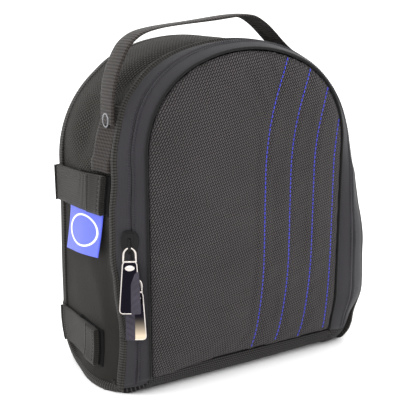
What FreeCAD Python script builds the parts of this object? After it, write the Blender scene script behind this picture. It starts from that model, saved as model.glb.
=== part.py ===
import FreeCAD, Part
import math
import os

# Small padded arch-top gear bag, millimetres, +Z up.
# Origin: middle of the flat base, on the surface it stands on.
# +X is to the right seen from the front, and the zipped front faces -Y.

V = FreeCAD.Vector
X_AXIS = V(1, 0, 0)
Z_AXIS = V(0, 0, 1)

# ---- driving dimensions -------------------------------------------------

# Arch outlines: y, half width, spring height, shoulder radius, apex height
FRONT_SEAM = dict(y=-58.0, half=88.0, spring=183.0, shoulder=70.0, apex=257.0)
EDGE_SEAM = dict(y=-45.0, half=112.0, spring=178.0, shoulder=76.0, apex=262.0)
REAR_SEAM = dict(y=52.0, half=120.0, spring=168.0, shoulder=90.0, apex=265.5)

BASE_FRONT_R = 17.0
BASE_REAR_R = 35.0
BASE_SEAM_Z = 42.0
FLAP_BOTTOM_Z = 17.3
FLAP_HINGE_Z = 16.0

FABRIC = 1.2
FOAM = 5.0
LINING = 0.8
BASE_FOAM = 3.0
BOARD = 1.5
WALL = FABRIC + FOAM + LINING
FLAP_FABRIC = 1.2
FLAP_FOAM = 4.0
FLAP_INSET = 4.0
FLAP_PROUD = 0.4
REACH = 300.0
BELOW_BASE = -1.0

# Zip band, as fractions of the way from the front seam to the edge seam
TAPE_END = 0.36
CHAIN_CENTRE = 0.5
CHAIN_GAP = 0.026
TAPE_IN_PLANE = 2.5
COIL_IN_PLANE = 3.0

PIPING_R = 1.2
PIPING_GAP = 0.1
PIPING_SINK = 0.2
BINDING_W = 6.0
BINDING_T = 1.2
BINDING_U_R = 20.0
BINDING_SPLIT_Z = 46.0

WEBBING_W = 25.0
WEBBING_T = 1.6
HANDLE_Y = -22.0
RIVET_Z = 206.0
HANDLE_END_Z = 169.0
HANDLE_SWEEP_R = 13.0
HANDLE_GAP = 0.4
HANDLE_CORNER_LIFT = 9.0
HANDLE_ROUTE = [(-116, 206), (-102.5, 240), (-79.5, 271), (22, 285.5), (105.5, 237), (116, 206)]
HANDLE_BEND_R = 14.0
RIVET_HEAD_R = 6.5
RIVET_SHANK_R = 2.0
RIVET_CAP_R = 5.0
RIVET_HEAD_T = 2.2
RIVET_CHAMFER = 0.7
RIVET_CAP_T = 1.0
RIVET_SINK = 4.4
RIVET_L = 14.0

STRAP_W = 29.0
STRAP_T = 1.8
PATCH_T = 1.0
PATCH_GAP = 0.2
STRAP_OFFSET = 2.5
TAB_HINGE_Y = 50.0
TAB_CLEAR = 1.3
STRAPS = {"upper": dict(z=138.5, front=-34.0), "lower": dict(z=17.5, front=-24.0)}
PATCH_LEAD = 4.0
HOOK_INSET = 1.0
HOOK_LENGTH = 38.0

LABEL_W = 60.0
LABEL_H = 36.0
LABEL_T = 0.6
LABEL_FRONT_Y = -31.0
LABEL_TOP_Z = 138.0
LABEL_OFFSET = 1.0

SLIDER_L = 17.0
SLIDER_W = 13.0
UPPER_SLIDER_Z = 122.0
LOWER_SLIDER_Z = 98.5
TOP_PLATE = (0.3, 2.0)
BOTTOM_PLATE = (-4.2, -2.9)
FLANGE_TOP = -1.7
POST_W = 0.4
POST_REACH = (1.6, 6.6)
POST_L = 4.0
POST_INSET = 1.0
SLIDER_CORNER_R = 3.0
CHANNEL_HALF_W = 4.4
BRIDGE_W = 3.2
BRIDGE_V = (-7.2, 2.5)
BRIDGE_LEG = 1.0
BRIDGE_TOP = 4.4
BRIDGE_T = 0.7
PULL_PIN_V = -4.5
PULL_PIN_W = 2.9
PULL_WIRE_R = 0.7
PULL_W = 15.0
PULL_LOOP_W = 10.0
PULL_LOOP_L = 8.5
PULL_ARM_W = 1.6
PULL_L = 47.0
PULL_T = 1.4
PULL_CORNER_R = 2.5
GRIP_PROUD = 0.5
GRIP_TOP_V = -18.0
GRIP_EDGE_U = 0.6
UPPER_PULL_TILT = 13.0

THREAD_R = 0.4
QUILT_STRAIGHT = (160.0, 100.0)
QUILT_END_GAP = 1.0
# Quilt lines on the front panel: middle x, top (x, z), bottom x
QUILT_LINES = [(11, (31, 250), 1), (35, (53, 241), 24), (58, (71, 226), 48), (79, (83.5, 200), 74)]


# ---- outlines -----------------------------------------------------------

def between(a, b, fraction):
    """Outline a fraction of the way from outline a to outline b."""
    return {key: a[key] + (b[key] - a[key]) * fraction for key in a}


def inset(outline, distance):
    """The same outline moved inwards, every arc keeping its centre."""
    moved = dict(outline)
    moved["half"] -= distance
    moved["shoulder"] -= distance
    moved["apex"] -= distance
    return moved


def arch_points(outline, low):
    """End and middle points of the five edges of a three-centre arch."""
    half, spring = outline["half"], outline["spring"]
    shoulder, apex = outline["shoulder"], outline["apex"]
    centre_x = half - shoulder
    rise = apex - spring
    top_r = (centre_x ** 2 + rise ** 2 - shoulder ** 2) / (2 * (rise - shoulder))
    top_z = apex - top_r
    turn = math.atan2(centre_x, spring - top_z)
    meet = (top_r * math.sin(turn), top_z + top_r * math.cos(turn))
    middle_angle = (math.pi / 2 - turn) / 2
    middle = (centre_x + shoulder * math.cos(middle_angle), spring + shoulder * math.sin(middle_angle))
    y = outline["y"]
    right = [V(half, y, low), V(half, y, spring), V(middle[0], y, middle[1]), V(meet[0], y, meet[1])]
    left = [V(-p.x, p.y, p.z) for p in right]
    return left, V(0, y, apex), right


def arch_edges(outline, low):
    """Left side, left shoulder, top, right shoulder and right side."""
    left, top, right = arch_points(outline, low)
    return [
        Part.makeLine(left[0], left[1]),
        Part.Arc(left[1], left[2], left[3]).toShape(),
        Part.Arc(left[3], top, right[3]).toShape(),
        Part.Arc(right[3], right[2], right[1]).toShape(),
        Part.makeLine(right[1], right[0]),
    ]


def closed_wire(outline, low):
    left, _, right = arch_points(outline, low)
    return Part.Wire(arch_edges(outline, low) + [Part.makeLine(right[0], left[0])])


def horseshoe_wire(outline, thickness, low):
    inner = inset(outline, thickness)
    left_out, _, right_out = arch_points(outline, low)
    left_in, _, right_in = arch_points(inner, low)
    edges = arch_edges(outline, low)
    edges.append(Part.makeLine(right_out[0], right_in[0]))
    edges.extend(reversed(arch_edges(inner, low)))
    edges.append(Part.makeLine(left_in[0], left_out[0]))
    return Part.Wire(edges)


# ---- solids made from the outlines --------------------------------------

def strip(start, end, thickness, low):
    """Horseshoe strip of one thickness between two outlines."""
    wires = [horseshoe_wire(start, thickness, low), horseshoe_wire(end, thickness, low)]
    return Part.makeLoft(wires, True, True)


def plate(outline, y_front, y_rear, low):
    """Flat arch-shaped plate from y_front to y_rear."""
    flat = dict(outline)
    flat["y"] = y_front
    return Part.Face(closed_wire(flat, low)).extrude(V(0, y_rear - y_front, 0))


def envelope(distance):
    """Everything inside the front band and the gusset, moved inwards."""
    outlines = [inset(o, distance) for o in (FRONT_SEAM, EDGE_SEAM, REAR_SEAM)]
    wires = [closed_wire(o, -distance) for o in outlines]
    front = Part.makeLoft(wires[:2], True, True)
    rear = Part.makeLoft(wires[1:], True, True)
    return front.fuse(rear)


def side_profile(distance, y_front=FRONT_SEAM["y"], front_r=BASE_FRONT_R):
    """Prism across the bag whose lower corners are rounded, moved inwards."""
    y0 = y_front + distance
    y1 = REAR_SEAM["y"] - distance
    z0 = distance
    r0 = front_r - distance
    r1 = BASE_REAR_R - distance
    c0 = V(0, y0 + r0, z0 + r0)
    c1 = V(0, y1 - r1, z0 + r1)
    diagonal = math.sqrt(0.5)
    edges = [
        Part.makeLine(V(0, y0, REACH), V(0, y0, c0.z)),
        Part.Arc(V(0, y0, c0.z), c0 + V(0, -r0 * diagonal, -r0 * diagonal), V(0, c0.y, z0)).toShape(),
        Part.makeLine(V(0, c0.y, z0), V(0, c1.y, z0)),
        Part.Arc(V(0, c1.y, z0), c1 + V(0, r1 * diagonal, -r1 * diagonal), V(0, y1, c1.z)).toShape(),
        Part.makeLine(V(0, y1, c1.z), V(0, y1, REACH)),
        Part.makeLine(V(0, y1, REACH), V(0, y0, REACH)),
    ]
    face = Part.Face(Part.Wire(edges))
    face.translate(V(-REACH / 2, 0, 0))
    return face.extrude(V(REACH, 0, 0))


def slab(z_low, z_high):
    return Part.makeBox(2 * REACH, 2 * REACH, z_high - z_low, V(-REACH, -REACH, z_low))


def wrap(outer, inner, gusset_depth):
    """Layer of the base and back wall, between the two gusset sides."""
    return side_profile(outer).cut(side_profile(inner)).common(envelope(gusset_depth))


def box(x0, x1, y0, y1, z0, z1):
    return Part.makeBox(x1 - x0, y1 - y0, z1 - z0, V(x0, y0, z0))


def mirrored(shape):
    return shape.mirror(V(0, 0, 0), X_AXIS)


def tube(edges, radius):
    """Round cord along joined lines and arcs."""
    path = Part.Wire(edges)
    start = edges[0].valueAt(edges[0].FirstParameter)
    direction = edges[0].tangentAt(edges[0].FirstParameter)
    ring = Part.Wire(Part.makeCircle(radius, start, direction))
    return path.makePipeShell([ring], True, True)


PARTS = {}


# ---- shell: gusset, base and back ---------------------------------------

def gusset_layer(outer, thickness):
    """Side and top wall layer with rounded lower ends."""
    front, rear = inset(EDGE_SEAM, outer), inset(REAR_SEAM, outer)
    layer = strip(front, rear, thickness, BELOW_BASE)
    return layer.common(side_profile(outer))


gusset_panel = gusset_layer(0.0, FABRIC)
gusset_foam = gusset_layer(FABRIC, FOAM)
gusset_lining = gusset_layer(FABRIC + FOAM, LINING)

outer_wrap = wrap(0.0, FABRIC, FABRIC)
foam_wrap = wrap(FABRIC, FABRIC + FOAM, WALL)
lining_wrap = wrap(FABRIC + FOAM, WALL, WALL)
base_foam_wrap = wrap(FABRIC, FABRIC + BASE_FOAM, WALL)

front_lip = box(-REACH, REACH, -REACH, 0.0, BELOW_BASE, BASE_FRONT_R)
base_zone = front_lip.fuse(box(-REACH, REACH, 0.0, REACH, BELOW_BASE, BASE_SEAM_Z))
back_zone = box(-REACH, REACH, 0.0, REACH, BASE_SEAM_Z, REACH)

PARTS["base_panel"] = outer_wrap.common(base_zone)
PARTS["back_panel"] = outer_wrap.common(back_zone)
PARTS["base_foam"] = base_foam_wrap.common(base_zone)
PARTS["back_foam"] = foam_wrap.common(back_zone)
PARTS["back_lining"] = lining_wrap.common(back_zone)

board_z = FABRIC + BASE_FOAM
board_y = (FRONT_SEAM["y"] + BASE_FRONT_R, REAR_SEAM["y"] - BASE_REAR_R)
board_x = EDGE_SEAM["half"] - WALL
PARTS["base_board"] = box(-board_x, board_x, board_y[0], board_y[1], board_z, board_z + BOARD)
PARTS["base_lining"] = box(-board_x, board_x, board_y[0], board_y[1], board_z + BOARD, board_z + BOARD + LINING)

# The foam and lining stop short of the back wall's own layers
gusset_foam = gusset_foam.cut(outer_wrap)
gusset_lining = gusset_lining.cut(outer_wrap)


# ---- edge binding round each side panel ---------------------------------

def binding_loop():
    front, rear = inset(EDGE_SEAM, -BINDING_T), inset(REAR_SEAM, -BINDING_T)
    layer = strip(front, rear, BINDING_T, BELOW_BASE)
    outer = side_profile(0.0, EDGE_SEAM["y"], BINDING_U_R)
    inner = side_profile(BINDING_W, EDGE_SEAM["y"], BINDING_U_R)
    return layer.common(outer).cut(inner)


loop = binding_loop()
above_split = slab(BINDING_SPLIT_Z, REACH)
below_split = slab(BELOW_BASE, BINDING_SPLIT_Z)
PARTS["front_edge_binding"] = loop.common(above_split).common(box(-REACH, REACH, -REACH, 0, 0, REACH))
PARTS["rear_edge_binding"] = loop.common(above_split).common(box(-REACH, REACH, 0, REACH, 0, REACH))
PARTS["left_corner_binding"] = loop.common(below_split).common(box(-REACH, 0, -REACH, REACH, BELOW_BASE, REACH))
PARTS["right_corner_binding"] = mirrored(PARTS["left_corner_binding"])


# ---- zip band ------------------------------------------------------------

def band_strip(start, end, thickness, low):
    return strip(between(FRONT_SEAM, EDGE_SEAM, start), between(FRONT_SEAM, EDGE_SEAM, end), thickness, low)


TAPE_START = 1.0 - TAPE_END
above_base = side_profile(FABRIC)
PARTS["body_zip_tape"] = band_strip(TAPE_START, 1.0, TAPE_IN_PLANE, BELOW_BASE).common(above_base)
PARTS["body_zip_coil"] = band_strip(CHAIN_CENTRE + CHAIN_GAP, TAPE_START, COIL_IN_PLANE, FLAP_BOTTOM_Z)
PARTS["flap_zip_tape"] = band_strip(0.0, TAPE_END, TAPE_IN_PLANE, FLAP_BOTTOM_Z)
PARTS["flap_zip_coil"] = band_strip(TAPE_END, CHAIN_CENTRE - CHAIN_GAP, COIL_IN_PLANE, FLAP_BOTTOM_Z)
zip_ends = band_strip(0.0, TAPE_START, TAPE_IN_PLANE, BELOW_BASE).common(above_base)
PARTS["zip_end_tabs"] = zip_ends.common(slab(BELOW_BASE, BASE_FRONT_R))


# ---- front flap ----------------------------------------------------------

flap_y = FRONT_SEAM["y"] - FLAP_FABRIC - FLAP_PROUD
foam_y = flap_y + FLAP_FABRIC
lining_y = foam_y + FLAP_FOAM
PARTS["front_panel"] = plate(FRONT_SEAM, flap_y, foam_y, FLAP_BOTTOM_Z)
PARTS["front_foam"] = plate(inset(FRONT_SEAM, FLAP_INSET), foam_y, lining_y, FLAP_BOTTOM_Z)
PARTS["front_lining"] = plate(inset(FRONT_SEAM, FLAP_INSET), lining_y, lining_y + LINING, FLAP_BOTTOM_Z)

piping_path = inset(FRONT_SEAM, -PIPING_R - PIPING_GAP)
piping_path["y"] = flap_y + PIPING_SINK
PARTS["front_piping"] = tube(arch_edges(piping_path, FLAP_BOTTOM_Z), PIPING_R)


def quilt_thread(middle_x, top, bottom_x):
    """One stitched line: an arc at the top, a straight run, an arc below."""
    y = flap_y - THREAD_R
    edges = []
    straight_top, straight_low = QUILT_STRAIGHT
    start = V(top[0], y, top[1])
    joint = V(middle_x, y, straight_top)
    edges.append(tangent_arc(joint, V(0, 0, 1), start, True))
    edges.append(Part.makeLine(joint, V(middle_x, y, straight_low)))
    low = V(middle_x, y, straight_low)
    edges.append(tangent_arc(low, V(0, 0, -1), V(bottom_x, y, FLAP_BOTTOM_Z + QUILT_END_GAP), False))
    return tube(edges, THREAD_R)


def tangent_arc(start, direction, end, flip):
    """Arc leaving start along direction and passing through end."""
    chord = end - start
    across = chord - direction * chord.dot(direction)
    radius = chord.dot(chord) / (2 * across.Length)
    centre = start + across.normalize() * radius
    to_middle = ((start - centre) + (end - centre)).normalize() * radius
    middle = centre + to_middle
    if flip:
        return Part.Arc(end, middle, start).toShape()
    return Part.Arc(start, middle, end).toShape()


threads = [quilt_thread(*line) for line in QUILT_LINES]
PARTS["quilt_threads"] = Part.makeCompound(threads)


# ---- handle and rivets ---------------------------------------------------

def side_x(y):
    """Half width of the gusset's outer face below the spring line."""
    share = (y - EDGE_SEAM["y"]) / (REAR_SEAM["y"] - EDGE_SEAM["y"])
    return between(EDGE_SEAM, REAR_SEAM, share)["half"]


handle_y0 = HANDLE_Y - WEBBING_W / 2
handle_y1 = HANDLE_Y + WEBBING_W / 2


def handle_end():
    """Sewn-down end of the webbing on the left side wall."""
    front, rear = inset(EDGE_SEAM, -WEBBING_T), inset(REAR_SEAM, -WEBBING_T)
    layer = strip(front, rear, WEBBING_T, 0.0)
    lower = box(-REACH, 0, handle_y0, handle_y1, HANDLE_END_Z, RIVET_Z)
    disc = Part.makeCylinder(HANDLE_SWEEP_R, REACH, V(-REACH, HANDLE_Y, RIVET_Z), X_AXIS)
    disc = disc.common(box(-REACH, 0, handle_y0, handle_y1, RIVET_Z, REACH))
    return layer.common(lower.fuse(disc))


def fillet_route(points, radius):
    """Lines with tangent arcs at the corners, in the plane y = 0."""
    corners = [V(x, 0, z) for x, z in points]
    edges = []
    start = corners[0]
    for before, corner, after in zip(corners, corners[1:], corners[2:]):
        back = (before - corner).normalize()
        ahead = (after - corner).normalize()
        half_angle = back.getAngle(ahead) / 2
        setback = radius / math.tan(half_angle)
        enter = corner + back * setback
        leave = corner + ahead * setback
        bisector = (back + ahead).normalize()
        centre = corner + bisector * (radius / math.sin(half_angle))
        edges.append(Part.makeLine(start, enter))
        edges.append(Part.Arc(enter, centre - bisector * radius, leave).toShape())
        start = leave
    edges.append(Part.makeLine(start, corners[-1]))
    return edges


def handle_webbing():
    inner_line = Part.Wire(fillet_route(HANDLE_ROUTE, HANDLE_BEND_R))
    ribbon = inner_line.makeOffset2D(WEBBING_T, 0, True, True, False)
    ribbon.translate(V(0, handle_y0, 0))
    ribbon_solid = ribbon.extrude(V(0, WEBBING_W, 0)).Solids[0]
    sweep = Part.makeCylinder(HANDLE_SWEEP_R + HANDLE_GAP, REACH, V(-REACH / 2, HANDLE_Y, RIVET_Z), X_AXIS)
    low_corners = slab(BELOW_BASE, RIVET_Z + HANDLE_CORNER_LIFT)
    return ribbon_solid.cut(sweep).cut(low_corners)


def rivet():
    """Head outside, shank through the wall, flat cap inside."""
    outside = side_x(HANDLE_Y) - RIVET_SINK
    head = Part.makeCylinder(RIVET_HEAD_R, RIVET_HEAD_T, V(-outside - RIVET_HEAD_T, HANDLE_Y, RIVET_Z), X_AXIS)
    head = head.makeChamfer(RIVET_CHAMFER, [head.Edges[2]])
    shank = Part.makeCylinder(RIVET_SHANK_R, RIVET_L, V(-outside - RIVET_CAP_T, HANDLE_Y, RIVET_Z), X_AXIS)
    cap = Part.makeCylinder(RIVET_CAP_R, RIVET_CAP_T, V(RIVET_L - RIVET_CAP_T - outside, HANDLE_Y, RIVET_Z), X_AXIS)
    return head.fuse([shank, cap]).removeSplitter()


left_rivet = rivet()
right_rivet = mirrored(left_rivet)
rivets = left_rivet.fuse(right_rivet)
left_end = handle_end()
PARTS["handle_end_left"] = left_end.cut(left_rivet)
PARTS["handle_end_right"] = mirrored(left_end).cut(right_rivet)
PARTS["rivet_left"] = left_rivet
PARTS["rivet_right"] = right_rivet
PARTS["handle_webbing"] = handle_webbing()
PARTS["gusset_panel"] = gusset_panel.cut(rivets)
PARTS["gusset_foam"] = gusset_foam.cut(rivets)
PARTS["gusset_lining"] = gusset_lining.cut(rivets)


# ---- back straps with hook-and-loop tabs ---------------------------------

wall_run = V(EDGE_SEAM["half"] - REAR_SEAM["half"], EDGE_SEAM["y"] - REAR_SEAM["y"], 0)
wall_angle = math.degrees(math.atan2(-wall_run.x, -wall_run.y))


def on_left_wall(shape, y):
    """Turn a shape built against the plane x = 0 onto the left side wall at y."""
    shape.rotate(V(0, 0, 0), Z_AXIS, wall_angle)
    shape.translate(V(-side_x(y), y, 0))
    return shape


def wall_slab(near, far, y_front, y_rear, y_anchor, z0, z1):
    """Plate lying along the left wall, from near to far outside it."""
    return on_left_wall(box(-far, -near, y_front - y_anchor, y_rear - y_anchor, z0, z1), y_anchor)


def make_strap(name, z, front):
    z1 = z + STRAP_W
    near, far = STRAP_OFFSET, STRAP_OFFSET + STRAP_T
    middle = (near + far) / 2
    tab = box(-far, -near, front - TAB_HINGE_Y, 0, z, z1)
    knuckle = Part.makeCylinder(STRAP_T / 2, STRAP_W, V(-middle, 0, z), Z_AXIS)
    left_tab = on_left_wall(tab.fuse(knuckle).removeSplitter(), TAB_HINGE_Y)
    hook_near = PATCH_T + PATCH_GAP
    hook = wall_slab(hook_near, near, front, front + HOOK_LENGTH, TAB_HINGE_Y, z + HOOK_INSET, z1 - HOOK_INSET)
    loop_patch = wall_slab(0.0, PATCH_T, front - PATCH_LEAD, front + HOOK_LENGTH, TAB_HINGE_Y, z, z1)
    loop_patch = loop_patch.cut(PARTS["gusset_panel"])
    turn_y = TAB_HINGE_Y + TAB_CLEAR
    back_y = REAR_SEAM["y"]
    corner_x = side_x(TAB_HINGE_Y) + STRAP_OFFSET
    across = box(-corner_x - STRAP_T, corner_x + STRAP_T, back_y, back_y + STRAP_T, z, z1)
    returns = box(-corner_x - STRAP_T, -corner_x, turn_y, back_y + STRAP_T, z, z1)
    across = across.fuse([returns, mirrored(returns)]).removeSplitter()
    PARTS[name + "_strap_back"] = across
    for side, place in (("left", lambda s: s), ("right", mirrored)):
        PARTS[name + "_tab_" + side] = place(left_tab)
        PARTS[name + "_hook_patch_" + side] = place(hook)
        PARTS[name + "_loop_patch_" + side] = place(loop_patch)


for strap_name, strap in STRAPS.items():
    make_strap(strap_name, strap["z"], strap["front"])


# ---- flag label ----------------------------------------------------------

PARTS["flag_label"] = wall_slab(
    LABEL_OFFSET, LABEL_OFFSET + LABEL_T, LABEL_FRONT_Y, LABEL_FRONT_Y + LABEL_W,
    TAB_HINGE_Y, LABEL_TOP_Z - LABEL_H, LABEL_TOP_Z)


# ---- zip sliders and pulls, in the zip's own axes ------------------------

band_run = V(FRONT_SEAM["half"] - EDGE_SEAM["half"], EDGE_SEAM["y"] - FRONT_SEAM["y"], 0)
band_turn = math.degrees(math.atan2(-band_run.y, -band_run.x))
chain = between(FRONT_SEAM, EDGE_SEAM, CHAIN_CENTRE)


def on_zip(shape, z):
    """Local u across, v up and w outward become the left zip's own axes."""
    shape.rotate(V(0, 0, 0), X_AXIS, 90.0)
    shape.rotate(V(0, 0, 0), Z_AXIS, band_turn)
    shape.translate(V(-chain["half"], chain["y"], z))
    return shape


def rounded_box(x0, x1, y0, y1, z0, z1, radius):
    """Box whose upright edges are rounded."""
    plain = box(x0, x1, y0, y1, z0, z1)
    upright = [e for e in plain.Edges if e.BoundBox.ZLength > (z1 - z0) / 2]
    return plain.makeFillet(radius, upright)


def slider():
    """Top plate, channelled bottom plate and pull bridge."""
    half_w, half_l = SLIDER_W / 2, SLIDER_L / 2
    top = rounded_box(-half_w, half_w, -half_l, half_l, TOP_PLATE[0], TOP_PLATE[1], SLIDER_CORNER_R)
    tray = rounded_box(-half_w, half_w, -half_l, half_l, BOTTOM_PLATE[0], FLANGE_TOP, SLIDER_CORNER_R)
    channel = box(-CHANNEL_HALF_W, CHANNEL_HALF_W, -SLIDER_L, SLIDER_L, BOTTOM_PLATE[1], FLANGE_TOP)
    bridge = box(-BRIDGE_W / 2, BRIDGE_W / 2, BRIDGE_V[0], BRIDGE_V[1], TOP_PLATE[1], BRIDGE_TOP)
    window_v = (BRIDGE_V[0] + BRIDGE_LEG, BRIDGE_V[1] - BRIDGE_LEG)
    window = box(-BRIDGE_W, BRIDGE_W, window_v[0], window_v[1], TOP_PLATE[1], BRIDGE_TOP - BRIDGE_T)
    return top.fuse([tray.cut(channel), bridge.cut(window)])


def post(z, at_top):
    """Thin parting post that joins the plates through the gap in the chain."""
    x, y = -chain["half"], chain["y"]
    low = z + SLIDER_L / 2 - POST_L - POST_INSET if at_top else z - SLIDER_L / 2 + POST_INSET
    return box(x - POST_REACH[0], x + POST_REACH[1], y - POST_W / 2, y + POST_W / 2, low, low + POST_L)


def pull(grip_side):
    """Pull hanging from a pin at the local origin, with its rubber grip."""
    half_t = PULL_T / 2
    tongue = rounded_box(-PULL_W / 2, PULL_W / 2, -PULL_L, -PULL_LOOP_L, -half_t, half_t, PULL_CORNER_R)
    pin = Part.makeCylinder(PULL_WIRE_R, PULL_LOOP_W, V(-PULL_LOOP_W / 2, 0, 0), X_AXIS)
    arm = box(PULL_LOOP_W / 2 - PULL_ARM_W, PULL_LOOP_W / 2, -PULL_LOOP_L, 0, -half_t, half_t)
    body = tongue.fuse([pin, arm, mirrored(arm)]).removeSplitter()
    grip_x = (GRIP_EDGE_U, PULL_W / 2 + GRIP_PROUD)
    if grip_side < 0:
        grip_x = (-grip_x[1], -grip_x[0])
    grip_z = (-half_t - GRIP_PROUD / 2, half_t + GRIP_PROUD)
    grip = rounded_box(*grip_x, -PULL_L - GRIP_PROUD, GRIP_TOP_V, *grip_z, PULL_CORNER_R)
    return body.cut(grip), grip


def hang(shape, z, tilt):
    shape.rotate(V(0, 0, 0), X_AXIS, -tilt)
    shape.translate(V(0, PULL_PIN_V, PULL_PIN_W))
    return on_zip(shape, z)


PARTS["upper_slider"] = on_zip(slider(), UPPER_SLIDER_Z).fuse(post(UPPER_SLIDER_Z, False)).removeSplitter()
PARTS["lower_slider"] = on_zip(slider(), LOWER_SLIDER_Z).fuse(post(LOWER_SLIDER_Z, True)).removeSplitter()
plate_up, grip_up = pull(1)
plate_low, grip_low = pull(-1)
PARTS["upper_pull"] = hang(plate_up, UPPER_SLIDER_Z, UPPER_PULL_TILT)
PARTS["upper_pull_grip"] = hang(grip_up, UPPER_SLIDER_Z, UPPER_PULL_TILT)
PARTS["lower_pull"] = hang(plate_low, LOWER_SLIDER_Z, 0.0)
PARTS["lower_pull_grip"] = hang(grip_low, LOWER_SLIDER_Z, 0.0)


# ---- write ---------------------------------------------------------------

os.makedirs("parts", exist_ok=True)
for node, shape in PARTS.items():
    solids = shape.Solids
    kept = solids[0] if len(solids) == 1 else Part.makeCompound(solids)
    kept.exportStep("parts/" + node + ".step")
    bounds = kept.BoundBox
    spans = ((bounds.XMin, bounds.XMax), (bounds.YMin, bounds.YMax), (bounds.ZMin, bounds.ZMax))
    text = " ".join("%.1f..%.1f" % span for span in spans)
    print(node, len(solids), "solid(s)", "valid" if kept.isValid() else "INVALID", "%.0f mm3" % kept.Volume, text)
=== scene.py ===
import math

import bmesh
import bpy
import numpy as np
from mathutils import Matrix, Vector, geometry, noise


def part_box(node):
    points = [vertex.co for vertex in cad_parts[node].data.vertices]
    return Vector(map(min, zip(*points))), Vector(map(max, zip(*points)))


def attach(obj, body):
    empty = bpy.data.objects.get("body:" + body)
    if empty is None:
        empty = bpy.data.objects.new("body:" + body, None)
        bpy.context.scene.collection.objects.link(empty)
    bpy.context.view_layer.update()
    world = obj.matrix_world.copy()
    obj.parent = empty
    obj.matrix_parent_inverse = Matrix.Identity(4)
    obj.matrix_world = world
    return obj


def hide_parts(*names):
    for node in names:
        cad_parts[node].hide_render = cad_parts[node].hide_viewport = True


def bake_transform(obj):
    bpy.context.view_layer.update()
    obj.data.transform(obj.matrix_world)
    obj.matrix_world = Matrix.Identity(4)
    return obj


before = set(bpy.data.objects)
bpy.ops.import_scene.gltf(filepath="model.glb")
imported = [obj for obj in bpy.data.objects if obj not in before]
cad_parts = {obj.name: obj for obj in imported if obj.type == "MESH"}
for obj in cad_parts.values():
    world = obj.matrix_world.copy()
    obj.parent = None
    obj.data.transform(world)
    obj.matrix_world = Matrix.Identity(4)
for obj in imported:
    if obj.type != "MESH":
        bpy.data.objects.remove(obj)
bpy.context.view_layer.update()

# Looks of a small padded arch-top gear bag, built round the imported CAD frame.
# Lengths below are millimetres in the row frame; meshes are scaled to metres when they are made.
MM = 0.001


def node_box(node):
    low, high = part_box(node)
    return np.array(low) / MM, np.array(high) / MM


def middle_height(node):
    return np.mean([corner[2] for corner in node_box(node)])


# ---- driving dimensions, taken from the frame --------------------------------

PANEL_LOW, PANEL_HIGH = node_box("front_panel")
TAPE_HIGH = node_box("body_zip_tape")[1]
FLAP_TAPE_LOW = node_box("flap_zip_tape")[0]
GUSSET_HIGH = node_box("gusset_panel")[1]
BASE_SEAM_Z = node_box("back_panel")[0][2]
FLAP_BACK_Y = node_box("front_foam")[1][1]
FLAP_LOW_Z = PANEL_LOW[2]

# Arch outlines: y, half width, spring height, shoulder radius, apex height
FRONT = np.array([FLAP_TAPE_LOW[1], PANEL_HIGH[0], 183.0, 70.0, PANEL_HIGH[2]])
EDGE = np.array([TAPE_HIGH[1], TAPE_HIGH[0], 178.0, 76.0, TAPE_HIGH[2]])
REAR = np.array([GUSSET_HIGH[1], GUSSET_HIGH[0], 168.0, 90.0, GUSSET_HIGH[2]])
DEPTH = REAR[0] - EDGE[0]
CENTRE = np.array([0.0, 0.0, 120.0])
WALL = 7.0
BASE_FRONT_R = 17.0
BASE_REAR_R = 35.0
# Front lower corner of each side panel: the right one is drawn up more by its zip end
PANEL_FRONT_R = {-1: 6.0, 1: 14.0}
# Both sides, with their word in the names of nodes
SIDES = ((-1, "left"), (1, "right"))

# How far the sewn seam lies inside the CAD outline, and how far behind it: (height, offset) pairs
LEFT_TUCK = [(0, 6.5), (45, 10.5), (85, 5.5), (110, 3), (140, 3.5), (170, 6.5), (196, 9), (225, 7), (262, 0)]
RIGHT_TUCK = [(0, 8), (22, 0), (50, -9), (90, -7), (130, -1), (165, 2), (200, 7), (245, 9), (262, 0)]
REAR_TUCK = [(0, 3), (60, 4.5), (160, 6.5), (235, 6.5), (262, 0)]
LEFT_SHIFT = [(0, 0), (160, 0), (200, 5), (230, 9), (262, 11)]
RIGHT_SHIFT = [(0, -4), (30, -10), (105, -11), (145, -5), (180, 6), (262, 11)]
RIGHT_REAR_SHARE = 0.5
# Share of the depth over which the seam's shift and its tuck fade out
SHIFT_REACH = 0.42
TUCK_REACH_LOW, TUCK_REACH_GAIN = 0.18, 0.34
TUCK_REACH_FROM, TUCK_REACH_RISE = 45.0, 75.0
# Bulge of the side walls just above the base
LOW_BULGE = 4.4
BULGE_TOP = 34.0
BULGE_AT, BULGE_WIDTH = 0.36, 0.24
# Lower corners of the front panel: the left one hangs lower, the right one is drawn in
LEFT_DROP = 4.0
RIGHT_PINCH = 5.0
PINCH_TOP, PINCH_RISE = 50.0, 34.0
# Padding of the zip band: everywhere, over the top, and on the right side
BAND_PUFF, BAND_PUFF_TOP, BAND_PUFF_RIGHT = 0.5, 2.2, 3.6
BAND_TOP_FROM, BAND_TOP_RISE = 165.0, 60.0


def smooth(x):
    x = np.clip(x, 0.0, 1.0)
    return x * x * (3 - 2 * x)


def eased(value, knots):
    """Smooth steps between (position, value) knots."""
    value = np.asarray(value, float)
    result = np.full(value.shape, float(knots[0][1]))
    for (a, va), (b, vb) in zip(knots, knots[1:]):
        result = result + (vb - va) * smooth((value - a) / (b - a))
    return result


def bell(x, middle, width):
    return np.exp(-((x - middle) / width) ** 2)


def unit(vectors):
    return vectors / np.linalg.norm(vectors, axis=-1, keepdims=True)


# ---- shape of the bag ---------------------------------------------------------

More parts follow.
